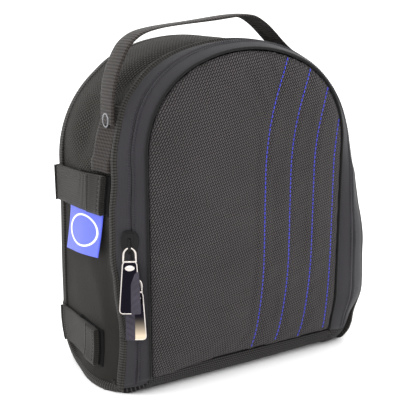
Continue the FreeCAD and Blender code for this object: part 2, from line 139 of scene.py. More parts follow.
def arch(outline, t):
    """x and z on a three-centre arch: t is 0..1 up the left side, 2..3 over the top, 4..5 down the right."""
    _, half, spring, shoulder, apex = outline
    middle = half - shoulder
    rise = apex - spring
    top_r = (middle ** 2 + rise ** 2 - shoulder ** 2) / (2 * (rise - shoulder))
    turn = np.arctan2(middle, spring - (apex - top_r))
    s = np.minimum(t, 5 - t)
    around = (np.clip(s, 1, 2) - 1) * (math.pi / 2 - turn)
    over = turn * (2.5 - np.clip(s, 2, 2.5)) / 0.5
    x = np.where(s < 1, half, np.where(s < 2, middle + shoulder * np.cos(around), top_r * np.sin(over)))
    top = np.where(s < 2, spring + shoulder * np.sin(around), apex - top_r + top_r * np.cos(over))
    z = np.where(s < 1, spring * np.clip(s, 0, 1), top)
    return np.where(t > 2.5, x, -x), z


# Places along the arch, closer together round the shoulders
ARCH_T = np.concatenate([np.linspace(0, 1, 47)[:-1], np.linspace(1, 2, 27)[:-1], np.linspace(2, 3, 33)[:-1],
                         np.linspace(3, 4, 27)[:-1], np.linspace(4, 5, 47)])


def low_edge(y, y_front, front_r):
    """Height of the rounded bottom of a side panel at depth y."""
    ahead = np.clip(y_front + front_r - y, 0, front_r)
    behind = np.clip(y - (REAR[0] - BASE_REAR_R), 0, BASE_REAR_R)
    front = front_r - np.sqrt(front_r ** 2 - ahead ** 2)
    rear = BASE_REAR_R - np.sqrt(np.maximum(BASE_REAR_R ** 2 - behind ** 2, 0))
    return np.maximum(front, rear)


def tuck(x, z):
    return np.where(x < 0, eased(z, LEFT_TUCK), eased(z, RIGHT_TUCK))


def wall_tuck(x, z, share):
    """Tuck of a side wall between its front seam and its back seam."""
    reach = TUCK_REACH_LOW + TUCK_REACH_GAIN * smooth((z - TUCK_REACH_FROM) / TUCK_REACH_RISE)
    front = tuck(x, z) * (1 - smooth(share / reach))
    rear = eased(z, REAR_TUCK) * np.where(x < 0, 1.0, RIGHT_REAR_SHARE) * smooth(share)
    bulge = LOW_BULGE * smooth((BULGE_TOP - z) / BULGE_TOP) * bell(share, BULGE_AT, BULGE_WIDTH)
    return front + rear - bulge


def seam_shift(x, z):
    return np.where(x < 0, eased(z, LEFT_SHIFT), eased(z, RIGHT_SHIFT))


def gusset(v, t):
    """Point of the side and top wall: v runs 0..1 from the front edge seam to the back seam."""
    v, t = np.broadcast_arrays(np.asarray(v, float), np.asarray(t, float))
    x0, z0 = arch(EDGE, t)
    y = EDGE[0] + DEPTH * v + seam_shift(x0, z0) * (1 - smooth(v / SHIFT_REACH))
    share = (y - EDGE[0]) / DEPTH
    outline = [EDGE[i] + (REAR[i] - EDGE[i]) * share for i in range(5)]
    x, z = arch(outline, t)
    on_side = np.clip(np.minimum(t, 5 - t), 0, 1)
    front_r = np.where(x0 < 0, PANEL_FRONT_R[-1], PANEL_FRONT_R[1])
    z = z + low_edge(np.maximum(y, EDGE[0]), EDGE[0], front_r) * (1 - on_side)
    x = x - np.sign(x) * wall_tuck(x0, z, v)
    return np.stack([x, y, z], -1)


def front_seam(t):
    """Seam round the front panel, between the panel and the zip band."""
    x, z = arch(FRONT, t)
    low = np.where(np.asarray(t) < 2.5, FLAP_LOW_Z - LEFT_DROP, FLAP_LOW_Z)
    z = low * (1 - np.clip(np.minimum(t, 5 - t), 0, 1)) + z
    x = np.where(x > 0, x - RIGHT_PINCH * smooth((PINCH_TOP - z) / PINCH_RISE), x)
    return np.stack([x, np.full_like(x, FRONT[0]), z], -1)


def band(s, t):
    """Point of the zip band: s runs 0..1 from the front panel's seam to the edge seam."""
    s, t = np.broadcast_arrays(np.asarray(s, float), np.asarray(t, float))
    inner, outer = front_seam(t), gusset(np.zeros_like(t), t)
    p = inner + (outer - inner) * s[..., None]
    over = smooth((p[..., 2] - BAND_TOP_FROM) / BAND_TOP_RISE)
    right = smooth(p[..., 0] / 40)
    puff = BAND_PUFF + BAND_PUFF_TOP * over + BAND_PUFF_RIGHT * right * (1 - over)
    step = 1e-3
    along = unit(front_seam(t + step) - front_seam(t - step))
    normal = np.cross(along, unit(outer - inner))
    normal = normal * np.sign(-normal[..., 1:2])
    return p + normal * (puff * 4 * s * (1 - s))[..., None]


def wall(side, y, z, lift=0.0):
    """Point on the left (-1) or right (+1) side wall at y, z, lifted outwards."""
    y, z, lift = np.broadcast_arrays(np.asarray(y, float), np.asarray(z, float), np.asarray(lift, float))
    share = (y - EDGE[0]) / DEPTH
    _, half, spring, shoulder, _ = [EDGE[i] + (REAR[i] - EDGE[i]) * share for i in range(5)]
    above = np.clip(z - spring, 0, shoulder)
    x = half - shoulder + np.sqrt(shoulder ** 2 - above ** 2)
    x = x - wall_tuck(np.full_like(z, side), z, share)
    slope = np.arcsin(np.clip(above / shoulder, 0, 1))
    return np.stack([side * (x + lift * np.cos(slope)), y, z + lift * np.sin(slope)], -1)


# ---- mesh helpers -------------------------------------------------------------

def make_object(name, points, faces, uv=None):
    """Mesh from millimetre points, with one UV (in millimetres) for each point."""
    mesh = bpy.data.meshes.new(name)
    mesh.from_pydata((np.asarray(points, float) * MM).tolist(), [], [list(map(int, f)) for f in faces])
    if uv is not None:
        layer = mesh.uv_layers.new(name="UVMap")
        index = np.zeros(len(mesh.loops), int)
        mesh.loops.foreach_get("vertex_index", index)
        layer.data.foreach_set("uv", np.asarray(uv, np.float32)[index].ravel())
    mesh.polygons.foreach_set("use_smooth", [True] * len(mesh.polygons))
    thing = bpy.data.objects.new(name, mesh)
    bpy.context.scene.collection.objects.link(thing)
    form = bmesh.new()
    form.from_mesh(mesh)
    bmesh.ops.recalc_face_normals(form, faces=form.faces)
    form.to_mesh(mesh)
    form.free()
    return thing


def grid_normals(points):
    normal = np.cross(np.gradient(points, axis=0), np.gradient(points, axis=1))
    normal = normal / np.maximum(np.linalg.norm(normal, axis=-1, keepdims=True), 1e-9)
    facing = np.sum(normal * (points - CENTRE), axis=-1).mean()
    return normal if facing > 0 else -normal


def outward(path):
    """Direction away from the bag's middle, square to a path that lies in an upright plane."""
    beside = unit(np.cross(np.gradient(path, axis=0), [0, 1, 0]))
    return beside * np.sign(np.sum(beside * (path - CENTRE), axis=1))[:, None]


def run_length(path):
    """Distance from the start of a path to each of its points."""
    return np.concatenate([[0], np.cumsum(np.linalg.norm(np.diff(path, axis=0), axis=1))])


def at_lengths(places, length, values):
    return np.stack([np.interp(places, length, column) for column in values.T], 1)


def resample(points, step):
    """Points of an open line at even spacing."""
    length = run_length(points)
    count = max(int(round(length[-1] / step)), 2)
    return at_lengths(np.linspace(0, length[-1], count + 1), length, points)


def grid_uv(points):
    """Distances along and across a grid, in millimetres."""
    along = np.linalg.norm(np.diff(points, axis=1), axis=-1)
    down = np.linalg.norm(np.diff(points, axis=0), axis=-1)
    u = np.concatenate([np.zeros((points.shape[0], 1)), np.cumsum(along, axis=1)], axis=1)
    u = np.repeat(u[len(u) // 2][None], len(u), axis=0)
    v = np.concatenate([np.zeros((1, points.shape[1])), np.cumsum(down, axis=0)], axis=0)
    return np.stack([u, v], -1)


def quads(rows, columns, start=0, flip=False):
    index = start + np.arange(rows * columns).reshape(rows, columns)
    faces = np.stack([index[:-1, :-1], index[:-1, 1:], index[1:, 1:], index[1:, :-1]], -1).reshape(-1, 4)
    return faces[:, ::-1] if flip else faces


def rim_loop(rows, columns):
    index = np.arange(rows * columns).reshape(rows, columns)
    return np.concatenate([index[0, :-1], index[:-1, -1], index[-1, :0:-1], index[:0:-1, 0]])


def ring_faces(rings, sides, closed=False):
    """Faces between rings of points, with both ends capped unless the row of rings is closed."""
    faces = []
    for i in range(rings if closed else rings - 1):
        here, there = i * sides, (i + 1) % rings * sides
        for k in range(sides):
            m = (k + 1) % sides
            faces.append([here + k, here + m, there + m, there + k])
    if not closed:
        faces += [list(range(sides)), list(range((rings - 1) * sides, rings * sides))]
    return faces


def shell_between(name, outer, inner, uv=None):
    """Closed sheet between two grids of the same size."""
    rows, columns = outer.shape[:2]
    count = rows * columns
    uv = grid_uv(outer) if uv is None else uv
    faces = list(quads(rows, columns)) + list(quads(rows, columns, count, True))
    loop = rim_loop(rows, columns)
    faces += [[a, b, b + count, a + count] for a, b in zip(loop, np.roll(loop, -1))]
    every = np.concatenate([outer.reshape(-1, 3), inner.reshape(-1, 3)])
    return make_object(name, every, faces, np.tile(uv.reshape(-1, 2), (2, 1)))


def closed_grid(name, points, depth, uv=None, lift=0.0):
    """Sheet with thickness: the grid lifted along its normals, and a copy depth below it."""
    normal = grid_normals(points)
    uv = grid_uv(points) if uv is None else uv
    lift = np.broadcast_to(lift, points.shape[:2])
    return shell_between(name, points + normal * lift[..., None], points - normal * depth, uv)


def tube(name, path, radius, sides=8, closed=False):
    """Round cord along a path of millimetre points."""
    path = np.asarray(path, float)
    ahead = np.roll(path, -1, axis=0) - np.roll(path, 1, axis=0)
    if not closed:
        ahead[0] = path[1] - path[0]
        ahead[-1] = path[-1] - path[-2]
    ahead = unit(ahead)
    side = np.cross(ahead[0], [0.3, 0.2, 0.93])
    turn = np.linspace(0, 2 * math.pi, sides, endpoint=False)
    rings = []
    for point, direction in zip(path, ahead):
        side = unit(side - direction * side.dot(direction))
        across = np.cross(direction, side)
        rings.append(point + radius * (np.outer(np.cos(turn), side) + np.outer(np.sin(turn), across)))
    uv = np.stack(np.meshgrid(run_length(path), turn * radius, indexing="ij"), -1).reshape(-1, 2)
    return make_object(name, np.concatenate(rings), ring_faces(len(path), sides, closed), uv)


def join(name, things):
    """One piece out of several meshes."""
    with bpy.context.temp_override(active_object=things[0], selected_editable_objects=things):
        bpy.ops.object.join()
    things[0].name = name
    things[0].data.name = name
    return things[0]


def catmull(points, each=10):
    """Smooth curve through given points."""
    p = np.asarray(points, float)
    p = np.concatenate([[2 * p[0] - p[1]], p, [2 * p[-1] - p[-2]]])
    s = np.linspace(0, 1, each, endpoint=False)[:, None]
    result = []
    for a, b, c, d in zip(p, p[1:], p[2:], p[3:]):
        bend = (2 * a - 5 * b + 4 * c - d) * s ** 2 + (3 * b - a - 3 * c + d) * s ** 3
        result.append(0.5 * (2 * b + (c - a) * s + bend))
    result.append(p[-2][None])
    return np.concatenate(result)


def wander(points, size, amount, seed):
    """Slow, repeatable unevenness of sewn cloth, in millimetres."""
    values = [noise.noise(Vector(p / size + seed)) for p in points.reshape(-1, 3)]
    return np.array(values).reshape(points.shape[:-1]) * amount


def finish_piece(thing, body, material, slot, *nodes):
    thing.data.materials.clear()
    thing.data.materials.append(material)
    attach(thing, body)
    if nodes:
        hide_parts(*nodes)
    return thing


# ---- materials ----------------------------------------------------------------

def tone(red, green, blue):
    """Linear colour from 0..255 display values."""
    share = np.array([red, green, blue]) / 255
    linear = np.where(share <= 0.04045, share / 12.92, ((share + 0.055) / 1.055) ** 2.4)
    return (*linear.tolist(), 1.0)


class Graph:
    """Node graph of one material."""

    def __init__(self, name, roughness=0.8, metallic=0.0, sheen=0.0):
        self.material = bpy.data.materials.new(name)
        self.material.use_nodes = True
        self.tree = self.material.node_tree
        self.shader = self.tree.nodes["Principled BSDF"]
        self.shader.inputs["Roughness"].default_value = roughness
        self.shader.inputs["Metallic"].default_value = metallic
        self.shader.inputs["Sheen Weight"].default_value = sheen
        self.shader.inputs["Sheen Roughness"].default_value = 0.5
        self.shader.inputs["Specular IOR Level"].default_value = 0.5 if metallic else 0.14

    def add(self, kind, output=0, settings=None, **inputs):
        """One node; an input is given by its name, or by its number as i0, i1 and so on."""
        node = self.tree.nodes.new("ShaderNode" + kind)
        for key, value in (settings or {}).items():
            setattr(node, key, value)
        for key, value in inputs.items():
            numbered = key[0] == "i" and key[1:].isdigit()
            socket = node.inputs[int(key[1:]) if numbered else key.replace("_", " ")]
            if isinstance(value, bpy.types.NodeSocket):
                self.tree.links.new(value, socket)
            else:
                socket.default_value = value
        return node.outputs[output]

    def math(self, operation, a, b=0.0):
        return self.add("Math", settings={"operation": operation}, i0=a, i1=b)

    def part(self, vector, axis):
        return self.add("SeparateXYZ", output=axis, Vector=vector)

    def uv(self):
        """UV in millimetres."""
        return self.add("Mapping", Vector=self.add("TexCoord", output=2))

    def place(self, scale=1000.0):
        """Object coordinates in millimetres."""
        coordinates = self.add("TexCoord", output=3)
        return self.add("Mapping", Vector=coordinates, Scale=(scale, scale, scale))

    def noise(self, vector, scale, detail=3.0):
        return self.add("TexNoise", Vector=vector, Scale=scale, Detail=detail, Roughness=0.55)

    def spread(self, value, low, high):
        return self.add("MapRange", Value=value, To_Min=low, To_Max=high)

    def step(self, value, start, end):
        """0 at start and 1 at end."""
        return self.add("MapRange", Value=value, From_Min=start, From_Max=end)

    def blend(self, factor, a, b):
        return self.add("Mix", output=2, settings={"data_type": "RGBA"}, i0=factor, i6=a, i7=b)

    def ridges(self, vector, axis, pitch):
        """Rounded ribs, 0..1, every pitch millimetres along one axis."""
        wave = self.math("SINE", self.math("MULTIPLY", self.part(vector, axis), 2 * math.pi / pitch))
        return self.math("ADD", self.math("MULTIPLY", wave, 0.5), 0.5)

    def finish(self, colour, height=None, roughness=None, depth=0.4, strength=0.7):
        self.tree.links.new(colour, self.shader.inputs["Base Color"])
        if roughness is not None:
            self.tree.links.new(roughness, self.shader.inputs["Roughness"])
        if height is not None:
            self.bump = self.add("Bump", Height=height, Strength=strength, Distance=depth * MM)
            self.tree.links.new(self.bump, self.shader.inputs["Normal"])
        return self.material


def staggered_weave(name, light, dark, dash, row, roughness, depth, smooth_below=0.0, turn=0.0,
                    gathered=False):
    """Cloth woven in short staggered dashes, with slow shade changes and fibre noise."""
    graph = Graph(name, roughness, sheen=0.03)
    uv = graph.add("Mapping", Vector=graph.uv(), Rotation=(0.0, 0.0, math.radians(turn)))
    wobble = graph.noise(uv, 0.35, 2.0)
    drift = graph.add("TexNoise", output=1, Vector=uv, Scale=0.5, Detail=1.0)
    drift = graph.add("VectorMath", settings={"operation": "SCALE"}, i0=drift, Scale=0.35)
    moved = graph.add("VectorMath", settings={"operation": "ADD"}, i0=uv, i1=drift)
    brick = graph.add("TexBrick", output=1, settings={"offset": 0.5}, Vector=moved, Scale=1.0,
                      Mortar_Size=row * 0.36, Mortar_Smooth=0.9, Brick_Width=dash, Row_Height=row)
    thread = graph.math("SUBTRACT", 1.0, brick)
    fibre = graph.noise(uv, 4.0, 4.0)
    shade = graph.math("MULTIPLY", thread, graph.spread(fibre, 0.5, 1.2))
    if smooth_below:
        coarse = graph.step(graph.part(graph.place(), 2), smooth_below - 12, smooth_below + 14)
        plain = graph.spread(graph.noise(uv, 1.4, 3.0), 0.12, 0.34)
        shade = graph.add("Mix", settings={"data_type": "FLOAT"}, i0=coarse, i2=plain, i3=shade)
    colour = graph.blend(shade, dark, light)
    slow = graph.noise(graph.place(), 0.02, 2.0)
    worn = graph.blend(graph.spread(slow, 0.0, 0.35), colour, dark)
    height = graph.math("ADD", shade, graph.math("MULTIPLY", wobble, 0.3))
    material = graph.finish(worn, height, graph.spread(fibre, roughness - 0.08, roughness + 0.1), depth)
    if gathered:
        add_gathers(graph)
    return material


def add_gathers(graph):
    """Fine gathers along the curved top of the seam, from the values stored on the front panel."""
    gap = graph.add("Attribute", output=2, settings={"attribute_name": "seam_gap"})
    run = graph.add("Attribute", output=2, settings={"attribute_name": "seam_run"})
    wave = graph.math("SINE", graph.math("MULTIPLY", run, 2 * math.pi / GATHER_PITCH))
    near = graph.step(gap, 7.0, 0.5)
    high = graph.step(graph.part(graph.place(), 2), 205.0, 240.0)
    pleat = graph.math("MULTIPLY", graph.math("MULTIPLY", wave, near), high)
    below = graph.add("Bump", Height=pleat, Strength=0.8, Distance=0.9 * MM)
    graph.tree.links.new(below, graph.bump.node.inputs["Normal"])


def ribbed_cloth(name, light, dark, pitch, cross, roughness, depth, axis=0):
    """Woven tape: ribs along one axis crossed by finer threads."""
    graph = Graph(name, roughness, sheen=0.1)
    uv = graph.uv()
    fibre = graph.noise(uv, 2.5, 4.0)
    fine = graph.math("MULTIPLY", graph.ridges(uv, 1 - axis, cross), 0.45)
    height = graph.math("ADD", graph.ridges(uv, axis, pitch), fine)
    shade = graph.math("MULTIPLY", height, graph.spread(fibre, 0.35, 0.8))
    colour = graph.blend(shade, dark, light)
    slow = graph.noise(graph.place(), 0.05, 2.0)
    colour = graph.blend(graph.spread(slow, 0.0, 0.3), colour, dark)
    return graph.finish(colour, height, graph.spread(fibre, roughness - 0.1, roughness + 0.1), depth)


def smooth_solid(name, light, dark, roughness, metallic=0.0, coat=0.0, grain=0.15, grain_size=1.2):
    """Plastic, rubber, board or metal with a fine uneven finish and soft wear."""
    graph = Graph(name, roughness, metallic)
    graph.shader.inputs["Coat Weight"].default_value = coat
    graph.shader.inputs["Coat Roughness"].default_value = 0.08
    place = graph.place()
    fine = graph.noise(place, grain_size, 5.0)
    slow = graph.noise(place, 0.12, 2.0)
    colour = graph.blend(graph.spread(slow, 0.0, 0.8), light, dark)
    colour = graph.blend(graph.spread(fine, 0.0, 0.3), colour, dark)
    rough = graph.spread(slow, max(roughness - 0.06, 0.02), min(roughness + 0.12, 1.0))
    return graph.finish(colour, fine, rough, grain, 0.35)


GATHER_PITCH = 2.6
BLACK = tone(0, 0, 0)
BALLISTIC = staggered_weave("ballistic_weave_front", tone(96, 91, 92), BLACK, dash=3.0, row=1.6,
                            roughness=0.72, depth=1.6, turn=-58.0, gathered=True)
PANEL = staggered_weave("panel_weave", tone(80, 77, 72), BLACK, dash=2.8, row=2.1,
                        roughness=0.8, depth=1.5, smooth_below=135.0)
BASE_CLOTH = staggered_weave("base_weave", tone(74, 71, 71), tone(2, 2, 2), dash=2.6, row=1.8,
                             roughness=0.82, depth=1.0)
LINING = staggered_weave("lining_cloth", tone(92, 92, 96), tone(66, 66, 70), dash=0.7, row=0.5,
                         roughness=0.7, depth=0.15)
TAPE = ribbed_cloth("zip_tape", tone(62, 60, 64), tone(26, 25, 28), 0.8, 1.1, roughness=0.66, depth=0.12)
BINDING = ribbed_cloth("binding", tone(70, 67, 63), tone(4, 4, 4), 2.1, 1.6, roughness=0.75, depth=0.9)
WEBBING = ribbed_cloth("webbing", tone(68, 60, 55), tone(4, 4, 4), 2.4, 1.8, roughness=0.66, depth=0.9)
STRAP = ribbed_cloth("strap_webbing", tone(56, 52, 47), tone(5, 5, 4), 2.4, 1.7, roughness=0.72, depth=0.8)
STRAP_END = ribbed_cloth("strap_fold", tone(44, 41, 37), tone(16, 14, 12), 1.5, 1.1, roughness=0.78,
                         depth=0.25, axis=1)
PIPING = ribbed_cloth("piping", tone(28, 27, 27), tone(8, 8, 8), 1.1, 1.5, roughness=0.75, depth=0.2)
THREAD = ribbed_cloth("thread", tone(88, 96, 240), tone(44, 48, 170), 0.9, 0.7, roughness=0.5, depth=0.1)
DARK_THREAD = ribbed_cloth("dark_thread", tone(30, 29, 28), tone(12, 12, 12), 0.9, 0.7, roughness=0.5,
                           depth=0.1)
HOOKS = smooth_solid("hook_loop", tone(26, 25, 25), tone(8, 8, 8), 0.95, grain=1.2, grain_size=1.6)
BOARD = smooth_solid("board", tone(120, 100, 80), tone(80, 66, 50), 0.9, grain=0.3)
COIL = smooth_solid("zip_coil", tone(66, 64, 69), tone(40, 38, 42), 0.5, grain=0.1)
SLIDER = smooth_solid("slider", tone(8, 8, 9), tone(2, 2, 3), 0.3, coat=0.1, grain=0.05)
BRIGHT = smooth_solid("pull_rim", tone(226, 220, 214), tone(170, 162, 158), 0.18, metallic=1.0, grain=0.03)
GRIP = smooth_solid("grip", tone(70, 66, 76), tone(46, 43, 51), 0.75, grain=0.3)
RIVET = smooth_solid("rivet", tone(150, 150, 154), tone(96, 96, 100), 0.24, metallic=1.0, grain=0.05)
# Sunk middle of the rivet: darker metal that is painted shade in its hollow
RIVET_HOLLOW_SHADE = smooth_solid("rivet_middle", tone(70, 68, 66), tone(34, 33, 32), 0.4, metallic=1.0, grain=0.1)


def polished_face(reflection_low, reflection_high):
    """Dark polished plate with a painted warm reflection towards its lower end."""
    graph = Graph("pull_face", 0.14, 1.0)
    place = graph.place()
    fine = graph.noise(place, 1.6, 4.0)
    # painted reflection: a mask that rises towards the plate's lower end
    low = graph.step(graph.part(place, 2), reflection_high, reflection_low)
    dark = graph.blend(graph.spread(fine, 0.0, 0.4), tone(24, 22, 30), tone(12, 10, 15))
    # painted reflection: the base colour turns warm over that mask
    colour = graph.blend(graph.math("MULTIPLY", low, low), dark, tone(206, 190, 166))
    return graph.finish(colour, fine, graph.spread(fine, 0.1, 0.2), 0.02, 0.3)


def label_material(width, height):
    """Plain blue satin with a printed white oval ring."""
    graph = Graph("label", 0.5, sheen=0.2)
    uv = graph.uv()
    squares = []
    for axis, size, share in ((0, width, RING_ACROSS), (1, height, RING_DOWN)):
        away = graph.math("SUBTRACT", graph.part(uv, axis), size / 2)
        away = graph.math("DIVIDE", away, size * share)
        squares.append(graph.math("MULTIPLY", away, away))
    reach = graph.math("SQRT", graph.math("ADD", *squares))
    ring = graph.step(graph.math("ABSOLUTE", graph.math("SUBTRACT", reach, 1.0)), 0.07, 0.045)
    fibre = graph.noise(uv, 3.0, 3.0)
    cloth = graph.blend(graph.spread(fibre, 0.0, 0.35), tone(88, 102, 226), tone(70, 84, 205))
    colour = graph.blend(ring, cloth, tone(250, 250, 255))
    woven = graph.math("ADD", graph.ridges(uv, 0, 0.6), graph.ridges(uv, 1, 0.6))
    return graph.finish(colour, woven, graph.spread(fibre, 0.42, 0.6), 0.08)


# ---- front panel --------------------------------------------------------------

PANEL_STEP = 3.4
CROWN, CROWN_REACH = 4.2, 7.0
CHANNEL_DEPTH, CHANNEL_HALF = 1.3, 2.6
SWELL = 2.0
CLOTH_FRAMES = 20
# Size of the panel's flat back and of its lining, as shares of the panel
BACKING_SHARE = 0.965
LINING_WIDE = 0.95
# Quilt lines: middle x, top (x, z), bottom x, as in the CAD threads
QUILT_LINES = [(11, (31, 250), 1), (35, (53, 241), 24), (58, (71, 226), 48), (79, (83.5, 200), 74)]
QUILT_HIGH, QUILT_LOW = 160.0, 100.0
STITCH_STEP = 1.15
STITCH_RISE = 0.32
STITCH_R = 0.42
PIPING_R = 1.15


def arc_run(start, end, count, upright_at_start):
    """Arc from start to end whose tangent is upright at one end."""
    fixed, free = (start, end) if upright_at_start else (end, start)
    dx, dz = free[0] - fixed[0], free[1] - fixed[1]
    radius = (dx * dx + dz * dz) / (2 * dx)
    angle = math.asin(max(-1, min(1, dz / radius))) * np.linspace(0, 1, count)
    run = np.stack([fixed[0] + radius * (1 - np.cos(angle)), fixed[1] + radius * np.sin(angle)], 1)
    return run if upright_at_start else run[::-1]


def quilt_line(line):
    middle, top, bottom = line
    upper = arc_run(top, (middle, QUILT_HIGH), 30, False)
    lower = arc_run((middle, QUILT_LOW), (bottom, FLAP_LOW_Z + 1.0), 30, True)
    z = np.linspace(QUILT_HIGH, QUILT_LOW, 20)[1:-1]
    straight = np.stack([np.full_like(z, middle), z], 1)
    return resample(np.concatenate([upper, straight, lower]), PANEL_STEP)


def seam_distance(points, border):
    """Distance of each point from the border and where along the border that is."""
    best = np.full(len(points), 1e9)
    where = np.zeros(len(points))
    run = 0.0
    for a, b in zip(border, np.roll(border, -1, axis=0)):
        d = b - a
        length = np.linalg.norm(d)
        share = np.clip((points - a) @ d / length ** 2, 0, 1)
        gap = np.linalg.norm(points - (a + share[:, None] * d), axis=1)
        nearer = gap < best
        best = np.where(nearer, gap, best)
        where = np.where(nearer, run + share * length, where)
        run += length
    return best, where


def line_distance(points, line):
    return np.min(np.linalg.norm(points[:, None] - line[None], axis=2), axis=1)


def panel_points(border, lines, step):
    """Border, sewn lines and an even filling of points, triangulated."""
    points = list(border)
    edges = [(i, (i + 1) % len(border)) for i in range(len(border))]
    for line in lines:
        first = len(points)
        points += list(line)
        edges += [(first + i, first + i + 1) for i in range(len(line) - 1)]
    fixed = np.array(points)
    low, high = border.min(0), border.max(0)
    rows = np.arange(low[1], high[1], step * 0.87)
    fill = np.array([(x + (step / 2 if i % 2 else 0), z) for i, z in enumerate(rows)
                     for x in np.arange(low[0], high[0], step)])
    fill = fill[line_distance(fill, fixed) > step * 0.7]
    every = [Vector(p) for p in np.concatenate([fixed, fill])]
    result = geometry.delaunay_2d_cdt(every, edges, [list(range(len(border)))], 1, 1e-4)
    return np.array([tuple(p) for p in result[0]]), result[2]


def crown_shape(points, gap, lines):
    """Height of the padded panel, pressed in along its quilt lines."""
    rise = CROWN * (1 - np.exp(-gap / CROWN_REACH))
    for line in lines:
        rise = rise - CHANNEL_DEPTH * bell(line_distance(points, line), 0, CHANNEL_HALF) * smooth(gap / 6)
    return rise


def inflate(thing, held):
    """Cloth run: the sewn points stay put and the cloth between them swells, by no more than SWELL."""
    group = thing.vertex_groups.new(name="held")
    group.add([int(i) for i in np.flatnonzero(held)], 1.0, "REPLACE")
    cloth = thing.modifiers.new("cloth", "CLOTH")
    settings = cloth.settings
    settings.quality = 5
    settings.mass = 0.2
    settings.tension_stiffness = 20
    settings.compression_stiffness = 20
    settings.shear_stiffness = 8
    settings.bending_stiffness = 1.5
    settings.vertex_group_mass = "held"
    settings.use_pressure = True
    settings.uniform_pressure_force = 4.0
    settings.shrink_min = -0.012
    settings.effector_weights.gravity = 0
    cloth.collision_settings.use_collision = False
    cloth.point_cache.frame_start = 1
    cloth.point_cache.frame_end = CLOTH_FRAMES
    start = np.array([v.co for v in thing.data.vertices])
    for number in range(1, CLOTH_FRAMES + 1):
        bpy.context.scene.frame_set(number)
    graph = bpy.context.evaluated_depsgraph_get()
    after = np.array([v.co for v in thing.evaluated_get(graph).data.vertices])
    thing.modifiers.remove(cloth)
    thing.vertex_groups.remove(group)
    bpy.context.scene.frame_set(1)
    move = after - start
    size = np.linalg.norm(move, axis=1, keepdims=True)
    move = move * np.minimum(1, SWELL * MM / np.maximum(size, 1e-9))
    thing.data.vertices.foreach_set("co", (start + move).astype(np.float32).ravel())
    thing.data.update()


def front_border():
    seam = front_seam(ARCH_T)[:, [0, 2]]
    bottom = np.stack([np.linspace(seam[-1, 0], seam[0, 0], 52), np.full(52, FLAP_LOW_Z)], 1)[1:-1]
    bottom[:, 1] -= LEFT_DROP * smooth((-25 - bottom[:, 0]) / 60)
    return np.concatenate([seam, bottom])


def make_front_panel():
    border = front_border()
    lines = [quilt_line(line) for line in QUILT_LINES]
    flat, faces = panel_points(border, lines, PANEL_STEP)
    gap, run = seam_distance(flat, border)
    y = PANEL_LOW[1] + 1.0 - crown_shape(flat, gap, lines)
    cover = make_object("front_cover", np.stack([flat[:, 0], y, flat[:, 1]], 1), faces, flat)
    near = np.min([line_distance(flat, line) for line in lines], axis=0)
    inflate(cover, np.minimum(gap, near) < 0.5)
    add_backing(cover, FLAP_BACK_Y)
    store(cover, "seam_gap", gap)
    store(cover, "seam_run", run)
    finer = cover.modifiers.new("finer", "SUBSURF")
    finer.levels = finer.render_levels = 1
    finish_piece(cover, "flap", BALLISTIC, "ballistic_weave", "front_panel", "front_foam")
    return cover


def store(thing, name, values):
    """Value of each front point, for the material; the backing's points get none."""
    attribute = thing.data.attributes.new(name, "FLOAT", "POINT")
    full = np.zeros(len(thing.data.vertices), np.float32)
    full[:len(values)] = values
    attribute.data.foreach_set("value", full)


def add_backing(thing, y):
    """Flat back and rim, so that the padded panel is a closed form."""
    form = bmesh.new()
    form.from_mesh(thing.data)
    front = list(form.verts)
    rim = [edge for edge in form.edges if edge.is_boundary]
    copied = bmesh.ops.duplicate(form, geom=front + list(form.edges) + list(form.faces))
    match = copied["vert_map"]
    middle = CENTRE[2] * MM
    for vertex in front:
        x, z = vertex.co.x * BACKING_SHARE, (vertex.co.z - middle) * BACKING_SHARE + middle
        match[vertex].co = Vector((x, y * MM, z))
    for edge in rim:
        a, b = edge.verts
        form.faces.new((a, b, match[b], match[a]))
    bmesh.ops.recalc_face_normals(form, faces=form.faces)
    for face in form.faces:
        face.smooth = True
    form.to_mesh(thing.data)
    form.free()


def on_panel(cover, points):
    """y of the cover's outer face at (x, z) points, from its nearest vertices."""
    count = len(cover.data.vertices) // 2
    every = np.array([v.co for v in cover.data.vertices])[:count] / MM
    gap = np.linalg.norm(points[:, None] - every[None][..., [0, 2]], axis=2)
    near = np.argsort(gap, axis=1)[:, :3]
    weight = 1 / (np.take_along_axis(gap, near, 1) + 0.05)
    weight = weight / weight.sum(1, keepdims=True)
    return (every[near, 1] * weight).sum(1)


def make_quilt_stitches(cover):
    stitches = []
    for number, line in enumerate(QUILT_LINES):
        marks = resample(quilt_line(line), STITCH_STEP)
        path = np.stack([marks[:, 0], on_panel(cover, marks) - 0.1, marks[:, 1]], 1)
        for i in range(0, len(path) - 3, 3):
            stitch = path[i:i + 3].copy()
            stitch[1, 1] -= STITCH_RISE
            stitches.append(tube(f"stitch_{number}_{i}", catmull(stitch, 3), STITCH_R, 5))
    finish_piece(join("quilt_stitches", stitches), "flap", THREAD, "thread", "quilt_threads")


def make_front_piping():
    seam = front_seam(ARCH_T)
    path = seam + outward(seam) * 0.9
    path[:, 1] = PANEL_LOW[1] + 0.9
    finish_piece(tube("front_piping_cord", path, PIPING_R), "flap", PIPING, "piping", "front_piping")


def make_front_lining():
    seam = front_seam(ARCH_T)
    foot = seam.copy()
    foot[:, 2] = FLAP_LOW_Z + 1.0
    points = foot[None] + (seam - foot)[None] * np.linspace(0, 1, 14)[:, None, None]
    points[..., 0] *= LINING_WIDE
    points[..., 2] = (points[..., 2] - CENTRE[2]) * BACKING_SHARE + CENTRE[2]
    points[..., 1] = FLAP_BACK_Y + 0.2
    mesh = closed_grid("front_lining_cloth", points, -0.6, points[..., [0, 2]])
    finish_piece(mesh, "flap", LINING, "lining_cloth", "front_lining")


# ---- zip band -----------------------------------------------------------------

TAPE_THICK = 0.8
# How far the right zip end is drawn up to the corner
RIGHT_DRAW = 9.0
